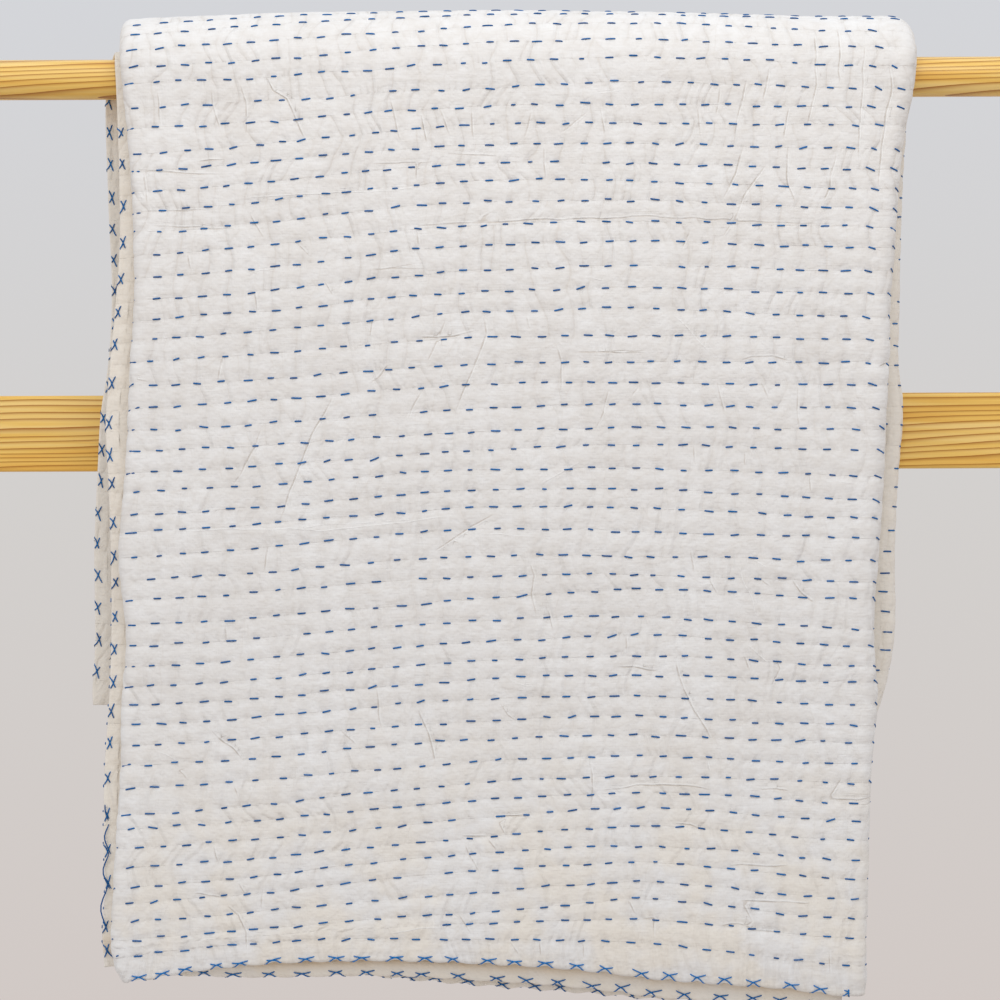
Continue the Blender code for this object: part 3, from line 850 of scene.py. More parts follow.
def pillows(rho, middle_run, across, band_mm, puff_mm):
    """Puff of the wadding between the rows, in mm.

    Between two rows it is the sine of pi t to a power, where t goes from 0 to 1 over the band.
    It dips at each column of stitches, and wider bands puff more. Each hem has a low puff of its
    own, and the two bands beside the short row's missing part puff as one.
    """
    row = rho[:, None]
    band = np.clip(np.floor(row).astype(int), -1, LAST_ROW)
    pillow = np.sin(math.pi * np.clip(row - band, 0, 1)) ** PILLOW_POWER
    double = np.sin(math.pi * np.clip(row / 2, 0, 1)) ** PILLOW_POWER
    missing = ease_in((SHORT_ROW_FROM - across) / SHORT_ROW_BLEND) * ((band == 0) | (band == 1))
    pillow = pillow * (1 - missing) + double * missing
    low_hem = ease_in((row + 1) / HEM_PUFF_RISE) * HEM_PUFFS[0] * ease_in(-row / HEM_PUFF_FALL)
    high_hem = ease_in((LAST_ROW + 1 - row) / HEM_PUFF_RISE) * HEM_PUFFS[1]
    high_hem = high_hem * ease_in((row - LAST_ROW) / HEM_PUFF_FALL)
    pillow = np.where(row < 0, low_hem, pillow)
    pillow = np.where(row > LAST_ROW, high_hem, pillow)

    mean, spread = PILLOW_FULLNESS
    course = band * PILLOW_PER_BAND + 0.5
    fullness = mean + spread * soft_noise(across / PILLOW_CELL, course, SEED + 1)
    fullness = fullness * np.clip(band_mm * (1 + missing) / FULL_BAND, *BAND_FULLNESS)
    dip = soft_noise(across / CELL_DIP_CELL, CELL_DIP_PER_ROW * row, SEED + 5)
    dip = np.clip(CELL_DIP * (1 + CELL_DIP_SPREAD * dip), 0, CELL_DIP_MOST)
    between = np.abs(np.sin(math.pi * stitch_columns(rho, across))) ** CELL_DIP_POWER
    fullness = fullness * (1 - dip + dip * between)
    return puff_mm * fullness * pillow * curve(FULLNESS_BY_RUN, middle_run)


def hemmed(half, rho, x, ply):
    """Half thickness of a face, from mm to metres, thinned to a round lip at every raw edge."""
    lip = HEM_THICKNESS / 2 / MM
    for distance in (np.abs((rho + 1) * HEM_BANDS[0]), np.abs((LAST_ROW + 1 - rho) * HEM_BANDS[1])):
        half = np.minimum(half, hem_round(distance[:, None] + 0 * x, half, lip))
    free = (x - x[:, -1:]) / MM
    tucked = (x[:, :1] - x) / MM
    half = np.where(ply == INNER_PLY, hem_round(free, half, lip), half)
    square = HIDDEN_EDGE_THICKNESS / 2 / MM + HIDDEN_EDGE_SLOPE * tucked
    half = np.where(ply == MIDDLE_PLY, np.minimum(half, square), half)
    return np.maximum(half, THINNEST) * MM


@lru_cache(maxsize=None)
def cloth_faces(puff_mm):
    """Points of the cloth's two faces by line and place, with the maps that its material reads.

    The folded section's centre line gets half the pinched ply and the relief laid off along the
    direction to face a, and half the frame's ply towards face b. The relief is the sum of the
    pillows, the stitches' pull, a fine crumple, the main creases and a slow swell. Then all of
    it is draped over the bar.
    """
    rho = grid_lines()
    middle_run, (x, offset, out_x, out_offset, across), ply = folded_section(rho)
    x_mm = x / MM
    line_run, band_mm = line_runs(rho, x_mm)
    run = hung_runs(rho, middle_run, x_mm, across, ply, line_run)

    on_fold = (ply == LEFT_FOLD) | (ply == RIGHT_FOLD)
    spread = np.where(x_mm < BULGE_MIDDLE, BULGE_LEFT_WIDTH, BULGE_RIGHT_WIDTH)
    crown = np.clip(1 - ((x_mm - BULGE_MIDDLE) / spread) ** 2, 0, 1)
    on_outer = (ply == OUTER_PLY) | (on_fold & (out_offset > 0))
    offset = offset + on_outer * crown * curve(BULGE, middle_run) * MM

    height = pillows(rho, middle_run, across, band_mm, puff_mm)
    pulled, pinch = stitch_relief(rho, across, band_mm)
    crumple = soft_noise(across / CRUMPLE_CELL[0] + 0.3 * run / CRUMPLE_CELL[1],
                         run / CRUMPLE_CELL[1], SEED + 2)
    crumple = CRUMPLE_DEPTH * (0.5 - np.abs(crumple))
    swell = SWELL_DEPTH * soft_noise(across / SWELL_CELL[0], run / SWELL_CELL[1], SEED + 3)
    creases, signed = np.zeros_like(x_mm), np.full_like(x_mm, CREASE_REACH)
    depth = np.zeros_like(x_mm)
    shown = (slice(0, BACK_LINE), slice(OUTER_AT, RIGHT_FOLD_AT + CREASED_FOLD_STEPS))
    creases[shown], signed[shown], depth[shown] = crease_relief(x_mm[shown], run[shown])
    front_to, front_over = FRONT_RELIEF_TO
    front = ease_in((front_to - middle_run) / front_over)
    share = np.where(ply == INNER_PLY, INNER_PILLOW_SHARE, front + (1 - front) * BACK_PILLOW_SHARE)
    share = share * np.where(ply == MIDDLE_PLY, MIDDLE_PILLOW_SHARE, 1.0)
    on_front = (middle_run < 0) & (ply == OUTER_PLY)
    relief = share * (height + pulled + crumple) + creases + np.where(on_front, swell, 0)

    half_puff = PLY_PUFF / 2 / MM
    half_a = PLY_PINCH / 2 / MM + relief
    snug = (ply == INNER_PLY) | (middle_run > SNUG_RUN)
    half_a = np.where(snug, np.minimum(half_a, half_puff), half_a)
    over_bar = (ply == INNER_PLY) & (np.abs(middle_run) < OVER_BAR_RUN)
    half_a = np.where(over_bar, np.minimum(half_a, half_puff - BAR_CLEARANCE), half_a)
    band = np.clip(np.floor(rho), -1, LAST_ROW)
    puffed = PLY_PINCH + (PLY_PUFF - PLY_PINCH) * np.sin(math.pi * np.clip(rho - band, 0, 1))
    half_b = puffed[:, None] / 2 / MM + 0 * half_a
    half_a, half_b = hemmed(half_a, rho, x, ply), hemmed(half_b, rho, x, ply)

    inside = np.where(on_fold, ease_in((0.45 - out_offset) / 0.9), ply != OUTER_PLY)
    inside = np.where(ply >= RIGHT_FOLD, BACK_INSIDE_SHARE * inside, inside)
    return {
        "a": draped(x + out_x * half_a, offset + out_offset * half_a, run),
        "b": draped(x - out_x * half_b, offset - out_offset * half_b, run),
        "across": across, "run": run, "rho": rho, "x": x_mm, "pinch": np.clip(pinch, 0, 1),
        "columns": stitch_columns(rho, across), "inside": inside * 1.0, "crease_side": signed,
        "crease_depth": depth,
    }


def scallops(rho, x_mm, ply):
    """How far a front hem bellies down between its cross stitches, in mm."""
    near = np.clip(1 - (rho[:, None] + 1) / SCALLOP_DEPTH_ROWS, 0, 1) ** 2
    belly = np.zeros_like(x_mm)
    for on, crosses in ((OUTER_PLY, OUTER_HEM_CROSSES), (MIDDLE_PLY, MIDDLE_HEM_CROSSES)):
        at = np.array(crosses, float)
        after = np.clip(np.searchsorted(at, x_mm), 1, len(at) - 1)
        span = at[after] - at[after - 1]
        t = np.clip((x_mm - at[after - 1]) / span, 0, 1)
        belly = np.where(ply == on, np.sin(math.pi * t) * 2 - 1, belly)
    uneven = soft_noise(x_mm / SCALLOP_DRIFT, 0.5, SEED)
    belly = np.where(ply == INNER_PLY, np.sin(2 * math.pi * x_mm / CROSS_PITCH + uneven), belly)
    return SCALLOP * belly * near


# ---- Mesh building ----
def new_piece(name, points, loops, sizes, maps=None, uv=None):
    """Link a smooth mesh object from points, one long list of face corners, and face sizes."""
    mesh = bpy.data.meshes.new(name)
    mesh.vertices.add(len(points))
    mesh.vertices.foreach_set("co", np.asarray(points, np.float32).ravel())
    mesh.loops.add(len(loops))
    mesh.loops.foreach_set("vertex_index", np.asarray(loops, np.int32))
    mesh.polygons.add(len(sizes))
    starts = np.concatenate(([0], np.cumsum(sizes)[:-1]))
    mesh.polygons.foreach_set("loop_start", np.asarray(starts, np.int32))
    mesh.update(calc_edges=True)
    if mesh.validate(verbose=False):
        raise RuntimeError(f"{name}: the mesh had to be repaired")
    mesh.shade_smooth()
    for label, values in (maps or {}).items():
        attribute = mesh.attributes.new(label, 'FLOAT', 'POINT')
        attribute.data.foreach_set("value", np.asarray(values, np.float32))
    for label, values in (uv or {}).items():
        layer = mesh.uv_layers.new(name=label)
        layer.data.foreach_set("uv", np.asarray(values[loops], np.float32).ravel())
    obj = bpy.data.objects.new(name, mesh)
    bpy.context.scene.collection.objects.link(obj)
    return obj


def cell_perimeters(first_k, last_k, step_k, first_j, last_j, step_j, around):
    """Grid numbers round the rim of each cell of a region, one row a cell.

    The rim goes along the first line, up the far side, back along the last line and down.
    """
    k0, j0 = np.meshgrid(np.arange(first_k, last_k, step_k), np.arange(first_j, last_j, step_j))
    k0, j0 = k0.ravel()[:, None], j0.ravel()[:, None]
    zeros_k, zeros_j = np.zeros(step_j, int), np.zeros(step_k, int)
    along = np.concatenate([np.arange(step_k), zeros_k + step_k, np.arange(step_k, 0, -1), zeros_k])
    up = np.concatenate([zeros_j, np.arange(step_j), zeros_j + step_j, np.arange(step_j, 0, -1)])
    return (j0 + up) * around + (k0 + along) % around


def cloth_regions():
    """How finely each part of the cloth is meshed, as rows of face, places, lines and steps.

    Face "a" is the cloth's outer side, and face "b" the side that its folds close over. A row is
    (face, first place, last place, first line, last line, place step, line step).
    """
    def coarse(face, first_place, last_place, first_line=0, last_line=LAST_LINE, step=COARSE_STEP):
        """Rows of one strip that keeps only the rims of its bands."""
        return [(face, first_place, last_place, max(low, first_line), high, step, line_step)
                for low, high, line_step in COARSE_BANDS if first_line < high <= last_line]

    return (
        *coarse("a", 0, LEFT_FOLD_AT),
        ("a", LEFT_FOLD_AT, INNER_AT, 0, BACK_LINE, 1, 1),
        ("a", LEFT_FOLD_AT, INNER_AT, BACK_LINE, LAST_LINE, 2, 1),
        ("a", INNER_AT, FREE_EDGE_AT, 0, LOW_BANDS_LINE, 2, 1),
        *coarse("a", INNER_AT, FREE_EDGE_AT, LOW_BANDS_LINE, LAST_ROW_LINE),
        ("a", INNER_AT, FREE_EDGE_AT, LAST_ROW_LINE, LAST_LINE, COARSE_STEP, 2),
        ("a", FREE_EDGE_AT, PLACES - 1, 0, LAST_LINE, 1, 1),
        ("b", FREE_EDGE_AT, PLACES - 1, 0, LAST_LINE, 1, 1),
        ("b", INNER_AT, FREE_EDGE_AT, 0, HEM_BAND_LINE, 2, 1),
        *coarse("b", INNER_AT, FREE_EDGE_AT, HEM_BAND_LINE),
        *coarse("b", RIGHT_FOLD_AT, INNER_AT, step=COARSE_FOLD_STEP),
        *coarse("b", LEFT_FOLD_AT, RIGHT_FOLD_AT),
        ("b", 0, LEFT_FOLD_AT, 0, HEM_BAND_LINE, 2, 1),
        *coarse("b", 0, LEFT_FOLD_AT, HEM_BAND_LINE),
    )


def make_cloth(puff_mm):
    """One closed mesh of both faces, fine where the quilt shows and coarse inside its folds.

    Every region keeps its own grid points, and each cell's face takes all the kept points round
    its rim, so that fine and coarse parts share their borders. A seam closes each raw edge, and
    a strip closes each hem.
    """
    cloth = cloth_faces(puff_mm)
    lines = len(cloth["rho"])
    around = 2 * PLACES
    points = np.concatenate([cloth["a"], cloth["b"][:, ::-1]], axis=1).reshape(-1, 3)
    kept = np.zeros((lines, around), bool)
    kept[[0, -1]] = True
    rims = []
    for face, first, last, line_from, line_to, place_step, line_step in cloth_regions():
        first_k, last_k = (first, last) if face == "a" else (around - 1 - last, around - 1 - first)
        kept[line_from:line_to + 1:line_step, first_k:last_k + 1:place_step] = True
        rims.append(cell_perimeters(first_k, last_k, place_step, line_from, line_to, line_step, around))
    kept[:, PLACES - 1:PLACES + 1] = True
    kept = kept.ravel()
    rims.append(cell_perimeters(PLACES - 1, PLACES, 1, 0, lines - 1, 1, around))
    for line_from, line_to, line_step in COARSE_BANDS:
        rims.append(cell_perimeters(around - 1, around, 1, line_from, line_to, line_step, around))
    place = np.arange(PLACES - 1)
    other = around - 1 - place
    rims.append(np.stack([place, other, other - 1, place + 1], axis=1))
    rims.append(np.stack([place, place + 1, other - 1, other], axis=1) + (lines - 1) * around)
    used = [kept[rim] for rim in rims]
    loops = np.concatenate([rim[on] for rim, on in zip(rims, used)])
    sizes = np.concatenate([on.sum(axis=1) for on in used])
    number = np.cumsum(kept) - 1

    def both(front, back=None):
        """A map's values in the points' order, face a first."""
        back = front if back is None else back
        return np.concatenate([front, back[:, ::-1]], axis=1).reshape(lines * around, -1)[kept]

    ones = np.ones_like(cloth["across"])
    flat = np.stack([cloth["across"], cloth["run"]], axis=-1) * MM
    cells = np.stack([cloth["columns"], cloth["rho"][:, None] * ones], axis=-1)
    maps = {name: both(cloth[name]).ravel() for name in ("pinch", "crease_side", "crease_depth")}
    maps["inside"] = both(cloth["inside"], ones).ravel()
    return new_piece("quilt_cloth", points[kept], number[loops], sizes, maps=maps,
                     uv={"flat": both(flat), "cells": both(cells)})


def unit(vectors):
    """Vectors brought to length 1."""
    return vectors / np.maximum(np.linalg.norm(vectors, axis=-1, keepdims=True), 1e-12)


def read_face(grid, line, place):
    """Points and unit normals of a face at fractional lines and places, eased bilinearly."""
    line = np.clip(line, 0, grid.shape[0] - 1.001)
    place = np.clip(place, 0, grid.shape[1] - 1.001)
    j, p = line.astype(int), place.astype(int)
    v, u = (line - j)[..., None], (place - p)[..., None]
    a, b, c, d = grid[j, p], grid[j, p + 1], grid[j + 1, p], grid[j + 1, p + 1]
    point = a * (1 - u) * (1 - v) + b * u * (1 - v) + c * (1 - u) * v + d * u * v
    wide = (b - a) * (1 - v) + (d - c) * v
    tall = (c - a) * (1 - u) + (d - b) * u
    normal = np.cross(wide, tall)
    return point, unit(normal)


def threads(name, paths, ups, shade, radius_mm):
    """Closed tubes along many short paths of equal length, joined as one mesh.

    Each ring is a circle across the path's tangent; the first and last rings are shrunk to a
    blunt tip.
    """
    count, steps = paths.shape[:2]
    tangent = unit(np.gradient(paths, axis=1))
    side = unit(np.cross(tangent, ups))
    lift = np.cross(side, tangent)
    angle = np.arange(THREAD_SIDES) * 2 * math.pi / THREAD_SIDES
    size = np.full(steps, radius_mm * MM)
    size[[0, -1]] *= THREAD_TIP
    wide, tall = THREAD_OVAL
    ring = (np.cos(angle)[None, None, :, None] * side[:, :, None] * wide
            + np.sin(angle)[None, None, :, None] * lift[:, :, None] * tall)
    points = paths[:, :, None] + ring * size[None, :, None, None]
    number = np.arange(count * steps * THREAD_SIDES).reshape(count, steps, THREAD_SIDES)
    following = np.roll(number, -1, axis=2)
    walls = np.stack([number[:, :-1], number[:, 1:], following[:, 1:], following[:, :-1]], axis=-1)
    loops = np.concatenate([walls.ravel(), number[:, 0].ravel(), number[:, -1, ::-1].ravel()])
    sizes = np.concatenate([np.full(walls.size // 4, 4), np.full(2 * count, THREAD_SIDES)])
    gone = np.linalg.norm(np.diff(paths, axis=1), axis=-1)
    gone = np.concatenate([np.zeros((count, 1)), np.cumsum(gone, axis=1)], axis=1)
    uv = np.stack(np.broadcast_arrays(gone[:, :, None], angle / (2 * math.pi)), axis=-1).reshape(-1, 2)
    tint = np.repeat(shade, steps * THREAD_SIDES)
    return new_piece(name, points.reshape(-1, 3), loops, sizes, maps={"shade": tint}, uv={"flat": uv})


def running_stitch_paths(cloth, rows, across_range):
    """Paths of the running stitches of some rows over face a, with the cloth's normals.

    A stitch is a straight float between its two holes. Its height over the line between them is
    a flat arch, below zero at both ends, where it dives into the cloth.
    """
    share = np.array(STITCH_POINTS)
    power, steepness = STITCH_ARCH
    arch = np.minimum(1, np.sin(math.pi * share) ** power * steepness)
    height = (-THREAD_DIVE + (THREAD_DIVE + THREAD_RISE) * arch) * MM
    paths, ups, shades = [], [], []
    for row in rows:
        at, length, tilt, slip, shade, kept = row_stitches(row)[0]
        wanted = (at > across_range[0]) & (at < across_range[1]) & (kept > 0)
        at, length, tilt, slip, shade = (values[wanted] for values in (at, length, tilt, slip, shade))
        line = int(np.argmin(np.abs(cloth["rho"] - row)))
        over = cloth["across"][line]
        along = np.array([HOLE_AT - 0.5, 0.5 - HOLE_AT]) * length[:, None]
        place = np.interp(at[:, None] + along, over[LEFT_FOLD_AT:], np.arange(LEFT_FOLD_AT, len(over)))
        beside = slip[:, None] + along * tilt[:, None]
        column = np.clip(np.round(place[:, :1]).astype(int), 0, PLACES - 1)
        here = cloth["run"][line, column]
        above, below = cloth["run"][line + 1, column] - here, here - cloth["run"][line - 1, column]
        beside = np.where(beside > 0, beside / above, beside / below)
        point, normal = read_face(cloth["a"], line + beside, place)
        low, high = point[:, :1], point[:, 1:]
        spread = (share[:, None] - HOLE_AT) / (1 - 2 * HOLE_AT)
        up = normal.mean(axis=1, keepdims=True)
        paths.append(low + (high - low) * spread + up * height[None, :, None])
        ups.append(np.broadcast_to(up, (len(at), len(share), 3)))
        shades.append(shade)
    return np.concatenate(paths), np.concatenate(ups), np.concatenate(shades)


def make_running_stitches(puff_mm, radius_mm):
    """The running stitches: one piece for the front panel and one for the crown and the back."""
    cloth = cloth_faces(puff_mm)
    fold = cloth["across"][0, RIGHT_FOLD_AT]
    (front_from, back_from), (front_past, back_past) = STITCHES_FROM, STITCHES_PAST_FOLD
    front_rows = len(FRONT_ROWS)
    groups = {
        "front_running_stitches": [(range(front_rows), (front_from, fold + front_past)),
                                   (range(INNER_ROWS), (fold + front_past, INNER_TO))],
        "back_running_stitches": [(range(front_rows, LAST_ROW + 1), (back_from, fold + back_past))],
    }
    made = []
    for name, parts in groups.items():
        found = [running_stitch_paths(cloth, rows, span) for rows, span in parts]
        paths, ups, shade = (np.concatenate([part[k] for part in found]) for k in range(3))
        made.append(threads(name, paths, ups, shade, radius_mm))
    return made


def cross_strokes(middle, size, rng):
    """The two strokes of each cross, as points of (along the edge, depth in from the edge)."""
    half_long, half_deep, inset, wrap = size
    long_spread, deep_spread, place_spread = STROKE_SPREAD
    wrapped_share, steepness = STROKE_WRAP
    share = np.linspace(0, 1, STROKE_POINTS)
    strokes = []
    for direction in (1, -1):
        along = half_long * (1 + rng.normal(0, long_spread, (len(middle), 1)))
        along = along * (1 if direction > 0 else SECOND_STROKE_SHARE)
        deep = half_deep * (1 + rng.normal(0, deep_spread, (len(middle), 1)))
        shift = rng.normal(0, place_spread, (len(middle), 2))
        u = middle[:, None] + shift[:, :1] + direction * along * (2 * share - 1)
        v = inset + shift[:, 1:] * STROKE_SHIFT_IN_DEPTH + deep * (2 * share - 1)
        v = v - wrap * np.clip(wrapped_share - share, 0, 1) * steepness
        strokes.append(np.stack([u, v], axis=-1))
    return np.concatenate(strokes)


def wrapped_hem(cloth, face, places, last):
    """A grid that goes over a hem: the other face's lines reversed, then this face's lines.

    Gives the grid and the depth of each of its lines in from the hem, negative past the hem.
    """
    other = "b" if face == "a" else "a"
    order = slice(-1, -WRAPPED_LINES - 1, -1) if last else slice(0, WRAPPED_LINES)
    near, far = cloth[face][order][:, places], cloth[other][order][:, places]
    depth = np.linalg.norm(np.diff(near, axis=0), axis=-1).mean(axis=1) / MM
    depth = np.concatenate(([0], np.cumsum(depth)))
    grid = np.concatenate([far[::-1], near])
    return grid, np.concatenate([-depth[::-1] - PAST_EDGE, depth])


def hem_crosses(cloth, middles, face, places, last, rng):
    """Cross stitches along a hem: points and normals of their strokes on the wrapped hem."""
    strokes = cross_strokes(np.array(middles, float), HEM_CROSS_SIZE, rng)
    grid, depth = wrapped_hem(cloth, face, places, last)
    x_here = grid[len(grid) // 2, :, 0] / MM - QUILT_MIDDLE_X / MM
    order = np.argsort(x_here)
    place = np.interp(strokes[..., 0], x_here[order], np.arange(len(x_here))[order])
    line = np.interp(strokes[..., 1], depth, np.arange(len(depth)))
    return read_face(grid, line, place)


def edge_paths(point, normal, outward):
    """Lift strokes off the cloth, with both ends dipped into it."""
    share = np.linspace(0, 1, point.shape[1])
    arch = np.minimum(1, np.sin(math.pi * share) * 3) * (THREAD_RISE + THREAD_DIVE) - THREAD_DIVE
    normal = normal * np.sign((normal * outward).sum(axis=-1, keepdims=True))
    return point + normal * (arch * MM)[None, :, None], normal


def free_edge_crosses(cloth, runs, face, rng):
    """Cross stitches down the free edge: strokes laid on a grid that goes over the raw edge."""
    middles = np.array(runs, float) + rng.normal(0, 1.0, len(runs))
    strokes = cross_strokes(middles, EDGE_CROSS_SIZE, rng)
    run_here = cloth["run"][:, FREE_EDGE_AT]
    line = np.interp(strokes[..., 0], run_here, np.arange(len(run_here)))
    other = "b" if face == "a" else "a"
    first = FREE_EDGE_AT - WRAPPED_PLACES
    near, far = cloth[face][:, first:], cloth[other][:, :first - 1:-1]
    x_here = cloth["x"][MEASURED_LINE, first:]
    inward = np.abs(x_here - x_here[-1])
    depth = np.concatenate([inward, -inward[::-1] - PAST_EDGE])
    place = np.interp(-strokes[..., 1], -depth, np.arange(len(depth)))
    return read_face(np.concatenate([near, far], axis=1), line, place)


def slack_loops():
    """Loops of slack thread behind the free edge, each a smooth curve through its three points."""
    at = np.linspace(0, 2, STROKE_POINTS)
    behind = np.full(STROKE_POINTS, INNER_PLY_OFFSET + LOOPS_BEHIND)
    loops = []
    for loop in EDGE_LOOPS:
        x, run = (curve([(k, *point) for k, point in enumerate(loop)], at, axis) for axis in (1, 2))
        loops.append(draped(x * MM, behind, run))
    return np.stack(loops)


def make_edge_crosses(puff_mm, radius_mm):
    """Cross stitches over every edge that shows: the hems of all three plies and the free edge."""
    cloth = cloth_faces(puff_mm)
    rng = np.random.default_rng(SEED + 50)
    front, back = np.array([0.0, -1.0, 0.0]), np.array([0.0, 1.0, 0.0])
    even = np.arange(*EVEN_CROSSES, CROSS_PITCH)
    even = even + rng.normal(0, CROSS_PITCH_SPREAD, len(even))
    outer = slice(OUTER_AT, RIGHT_FOLD_AT)
    middle = slice(0, LEFT_FOLD_AT)
    inner = slice(INNER_AT, PLACES)
    # Crosses of each hem: middles, face, places, whether the back hem, way out, mean shade
    hems = (
        (OUTER_HEM_CROSSES, "a", outer, False, front, 0.85),
        (MIDDLE_HEM_CROSSES, "b", middle, False, front, 0.5),
        (even, "b", inner, False, front, 0.35),
        (even + 9, "a", inner, False, back, 0.45),
        (even + 4, "a", outer, True, back, 0.45),
        (even - 6, "a", inner, True, front, 0.35),
    )
    found = []
    for middles, face, places, last, outward, shade in hems:
        path, up = edge_paths(*hem_crosses(cloth, middles, face, places, last, rng), outward)
        spread = rng.uniform(-CROSS_SHADE_SPREAD, CROSS_SHADE_SPREAD, len(path))
        found.append((path, up, np.full(len(path), shade) + spread))
    down_back = np.arange(*BACK_EDGE_CROSSES)
    for face, outward, runs in (("b", front, FREE_EDGE_CROSSES), ("a", back, FREE_EDGE_CROSSES),
                                ("a", front, down_back), ("b", back, down_back)):
        path, up = edge_paths(*free_edge_crosses(cloth, runs, face, rng), outward)
        found.append((path, up, rng.uniform(*EDGE_CROSS_SHADES, len(path))))
    loops = slack_loops()
    found.append((loops, np.broadcast_to(front, loops.shape), np.full(len(loops), LOOP_SHADE)))
    paths, ups, shades = (np.concatenate([part[k] for part in found]) for k in range(3))
    return threads("edge_cross_stitches", paths, ups, shades, radius_mm * CROSS_THREAD_SHARE)


ROUND_STEPS = 96
BAR_STEPS = 60
END_CORNER_STEPS = 5
RAIL_CORNER_STEPS = 7
BAR_END_ROUNDING = 0.0012
RAIL_ROUNDING = 0.0028
RAIL_END_ROUNDING = 0.001


def lathe_along_x(profile, stations, insets):
    """A bar along X: one profile of (y, z) rings, drawn in at each end by its inset."""
    centre = profile.mean(axis=0)
    radius = np.linalg.norm(profile - centre, axis=1, keepdims=True)
    rings = centre + (profile - centre) * (1 - insets[:, None, None] / radius[None])
    along = np.broadcast_to(stations[:, None, None], (len(stations), len(profile), 1))
    points = np.concatenate([along, rings], axis=-1)
    number = np.arange(len(stations) * len(profile)).reshape(len(stations), -1)
    following = np.roll(number, -1, axis=1)
    walls = np.stack([number[:-1], following[:-1], following[1:], number[1:]], axis=-1)
    loops = np.concatenate([walls.ravel(), number[0, ::-1], number[-1]])
    sizes = np.concatenate([np.full(walls.size // 4, 4), np.full(2, len(profile))])
    return points.reshape(-1, 3), loops, sizes


def bar_stations(length, corner):
    """Stations along a bar and the inset of its rings: a quarter-round corner at each end."""
    turn = np.linspace(0, math.pi / 2, END_CORNER_STEPS)
    start = corner * (1 - np.cos(turn))
    inset = corner * (1 - np.sin(turn))
    middle = np.linspace(corner, length - corner, BAR_STEPS)[1:-1]
    stations = np.concatenate([start, middle, length - start[::-1]])
    insets = np.concatenate([inset, np.zeros(len(middle)), inset[::-1]])
    return stations, insets


def make_bars():
    """The round bar and the flat rail, each a profile carried along X with its corners eased."""
    low, high = np.array(BAR_BOX)
    centre, radius = (low + high)[1:] / 2, (high - low)[2] / 2
    turn = np.arange(ROUND_STEPS) * 2 * math.pi / ROUND_STEPS
    profile = centre + radius * np.stack([np.cos(turn), np.sin(turn)], axis=-1)
    stations, insets = bar_stations(high[0] - low[0], BAR_END_ROUNDING)
    bar = new_piece("pine_bar", *lathe_along_x(profile, low[0] + stations, insets))
    low, high = np.array(RAIL_BOX)
    quarter = np.linspace(0, math.pi / 2, RAIL_CORNER_STEPS)
    corners = []
    for k, (side_y, side_z) in enumerate(((1, 1), (0, 1), (0, 0), (1, 0))):
        at = np.array([high[1] - RAIL_ROUNDING if side_y else low[1] + RAIL_ROUNDING,
                       high[2] - RAIL_ROUNDING if side_z else low[2] + RAIL_ROUNDING])
        angle = quarter + k * math.pi / 2
        corners.append(at + RAIL_ROUNDING * np.stack([np.cos(angle), np.sin(angle)], axis=-1))
    stations, insets = bar_stations(high[0] - low[0], RAIL_END_ROUNDING)
    rail = new_piece("pine_rail", *lathe_along_x(np.concatenate(corners), low[0] + stations, insets))
    return bar, rail


# ---- Materials ----
CREAM = (0.91, 0.83, 0.70)
LIT_CREASE = (0.96, 0.95, 0.92)

# Puckers come in sets: a key for its random values, its shift along the row in stitches, and how
# much luck a cell of the stitch grid needs to hold one
PUCKER_SETS = ((1.7, 0.0, 0.30), (5.3, 0.41, 0.60), (8.1, 0.72, 0.85))
PUCKER_LINE_MM = 1.3
SOFT_FOLD_MM = 4.4
ROW_LINE_MM = 0.9
# Wrinkles come in sets too: the stretch and turn of a cell pattern, and where its noise lets go
WRINKLE_SETS = (((26.0, 15.0, 1.0), 0.25, 0.46), ((13.0, 36.0, 1.0), -0.12, 0.50))
WRINKLE_BEND = (0.012, 0.016, 0.0)
WRINKLE_WIDTH = 0.03

# Share of the painted warm shade in each kind of crease and gather, and of its tone in the mottle,
# crumple and slubs
CREASE_SHADE_SHARES = {"pucker": 0.24, "row_line": 0.10, "wrinkle": 0.10, "main_line": 0.50}
GATHER_SHADE_SHARES = {"fold": 0.05, "pinch": 0.06}
CLOTH_TINTS = {"mottle": (0.3, 0.75, 0.14), "thin": (0.3, 0.7, 0.16), "slub": (0.3, 0.7, 0.05)}
# Heights of the cloth's own surface and depths of its creases, in mm
CLOTH_HEIGHTS = {"slub": 0.10, "crossing": 0.10, "thin": 0.9, "crinkle": 0.45, "bright": 0.2}
CREASE_DEPTHS = {"fold": 0.62, "pucker": 0.20, "row_line": 0.08, "main_line": 0.30}

THREAD_GROOVE_SHADE = (0.01, 0.03, 0.09)

GRAIN_SLOPE = 0.035
GRAIN_LINES = {"pine_bar": 215.0, "pine_rail": 175.0}
PINE_COATS = {"pine_bar": 0.5, "pine_rail": 0.2}
PALE_PINE_AND_HIGHLIGHT = (1.0, 0.74, 0.30)
ORANGE_PINE = (0.86, 0.42, 0.055)
RESIN = (0.36, 0.10, 0.02)
STREAK_SHADE = 0.86


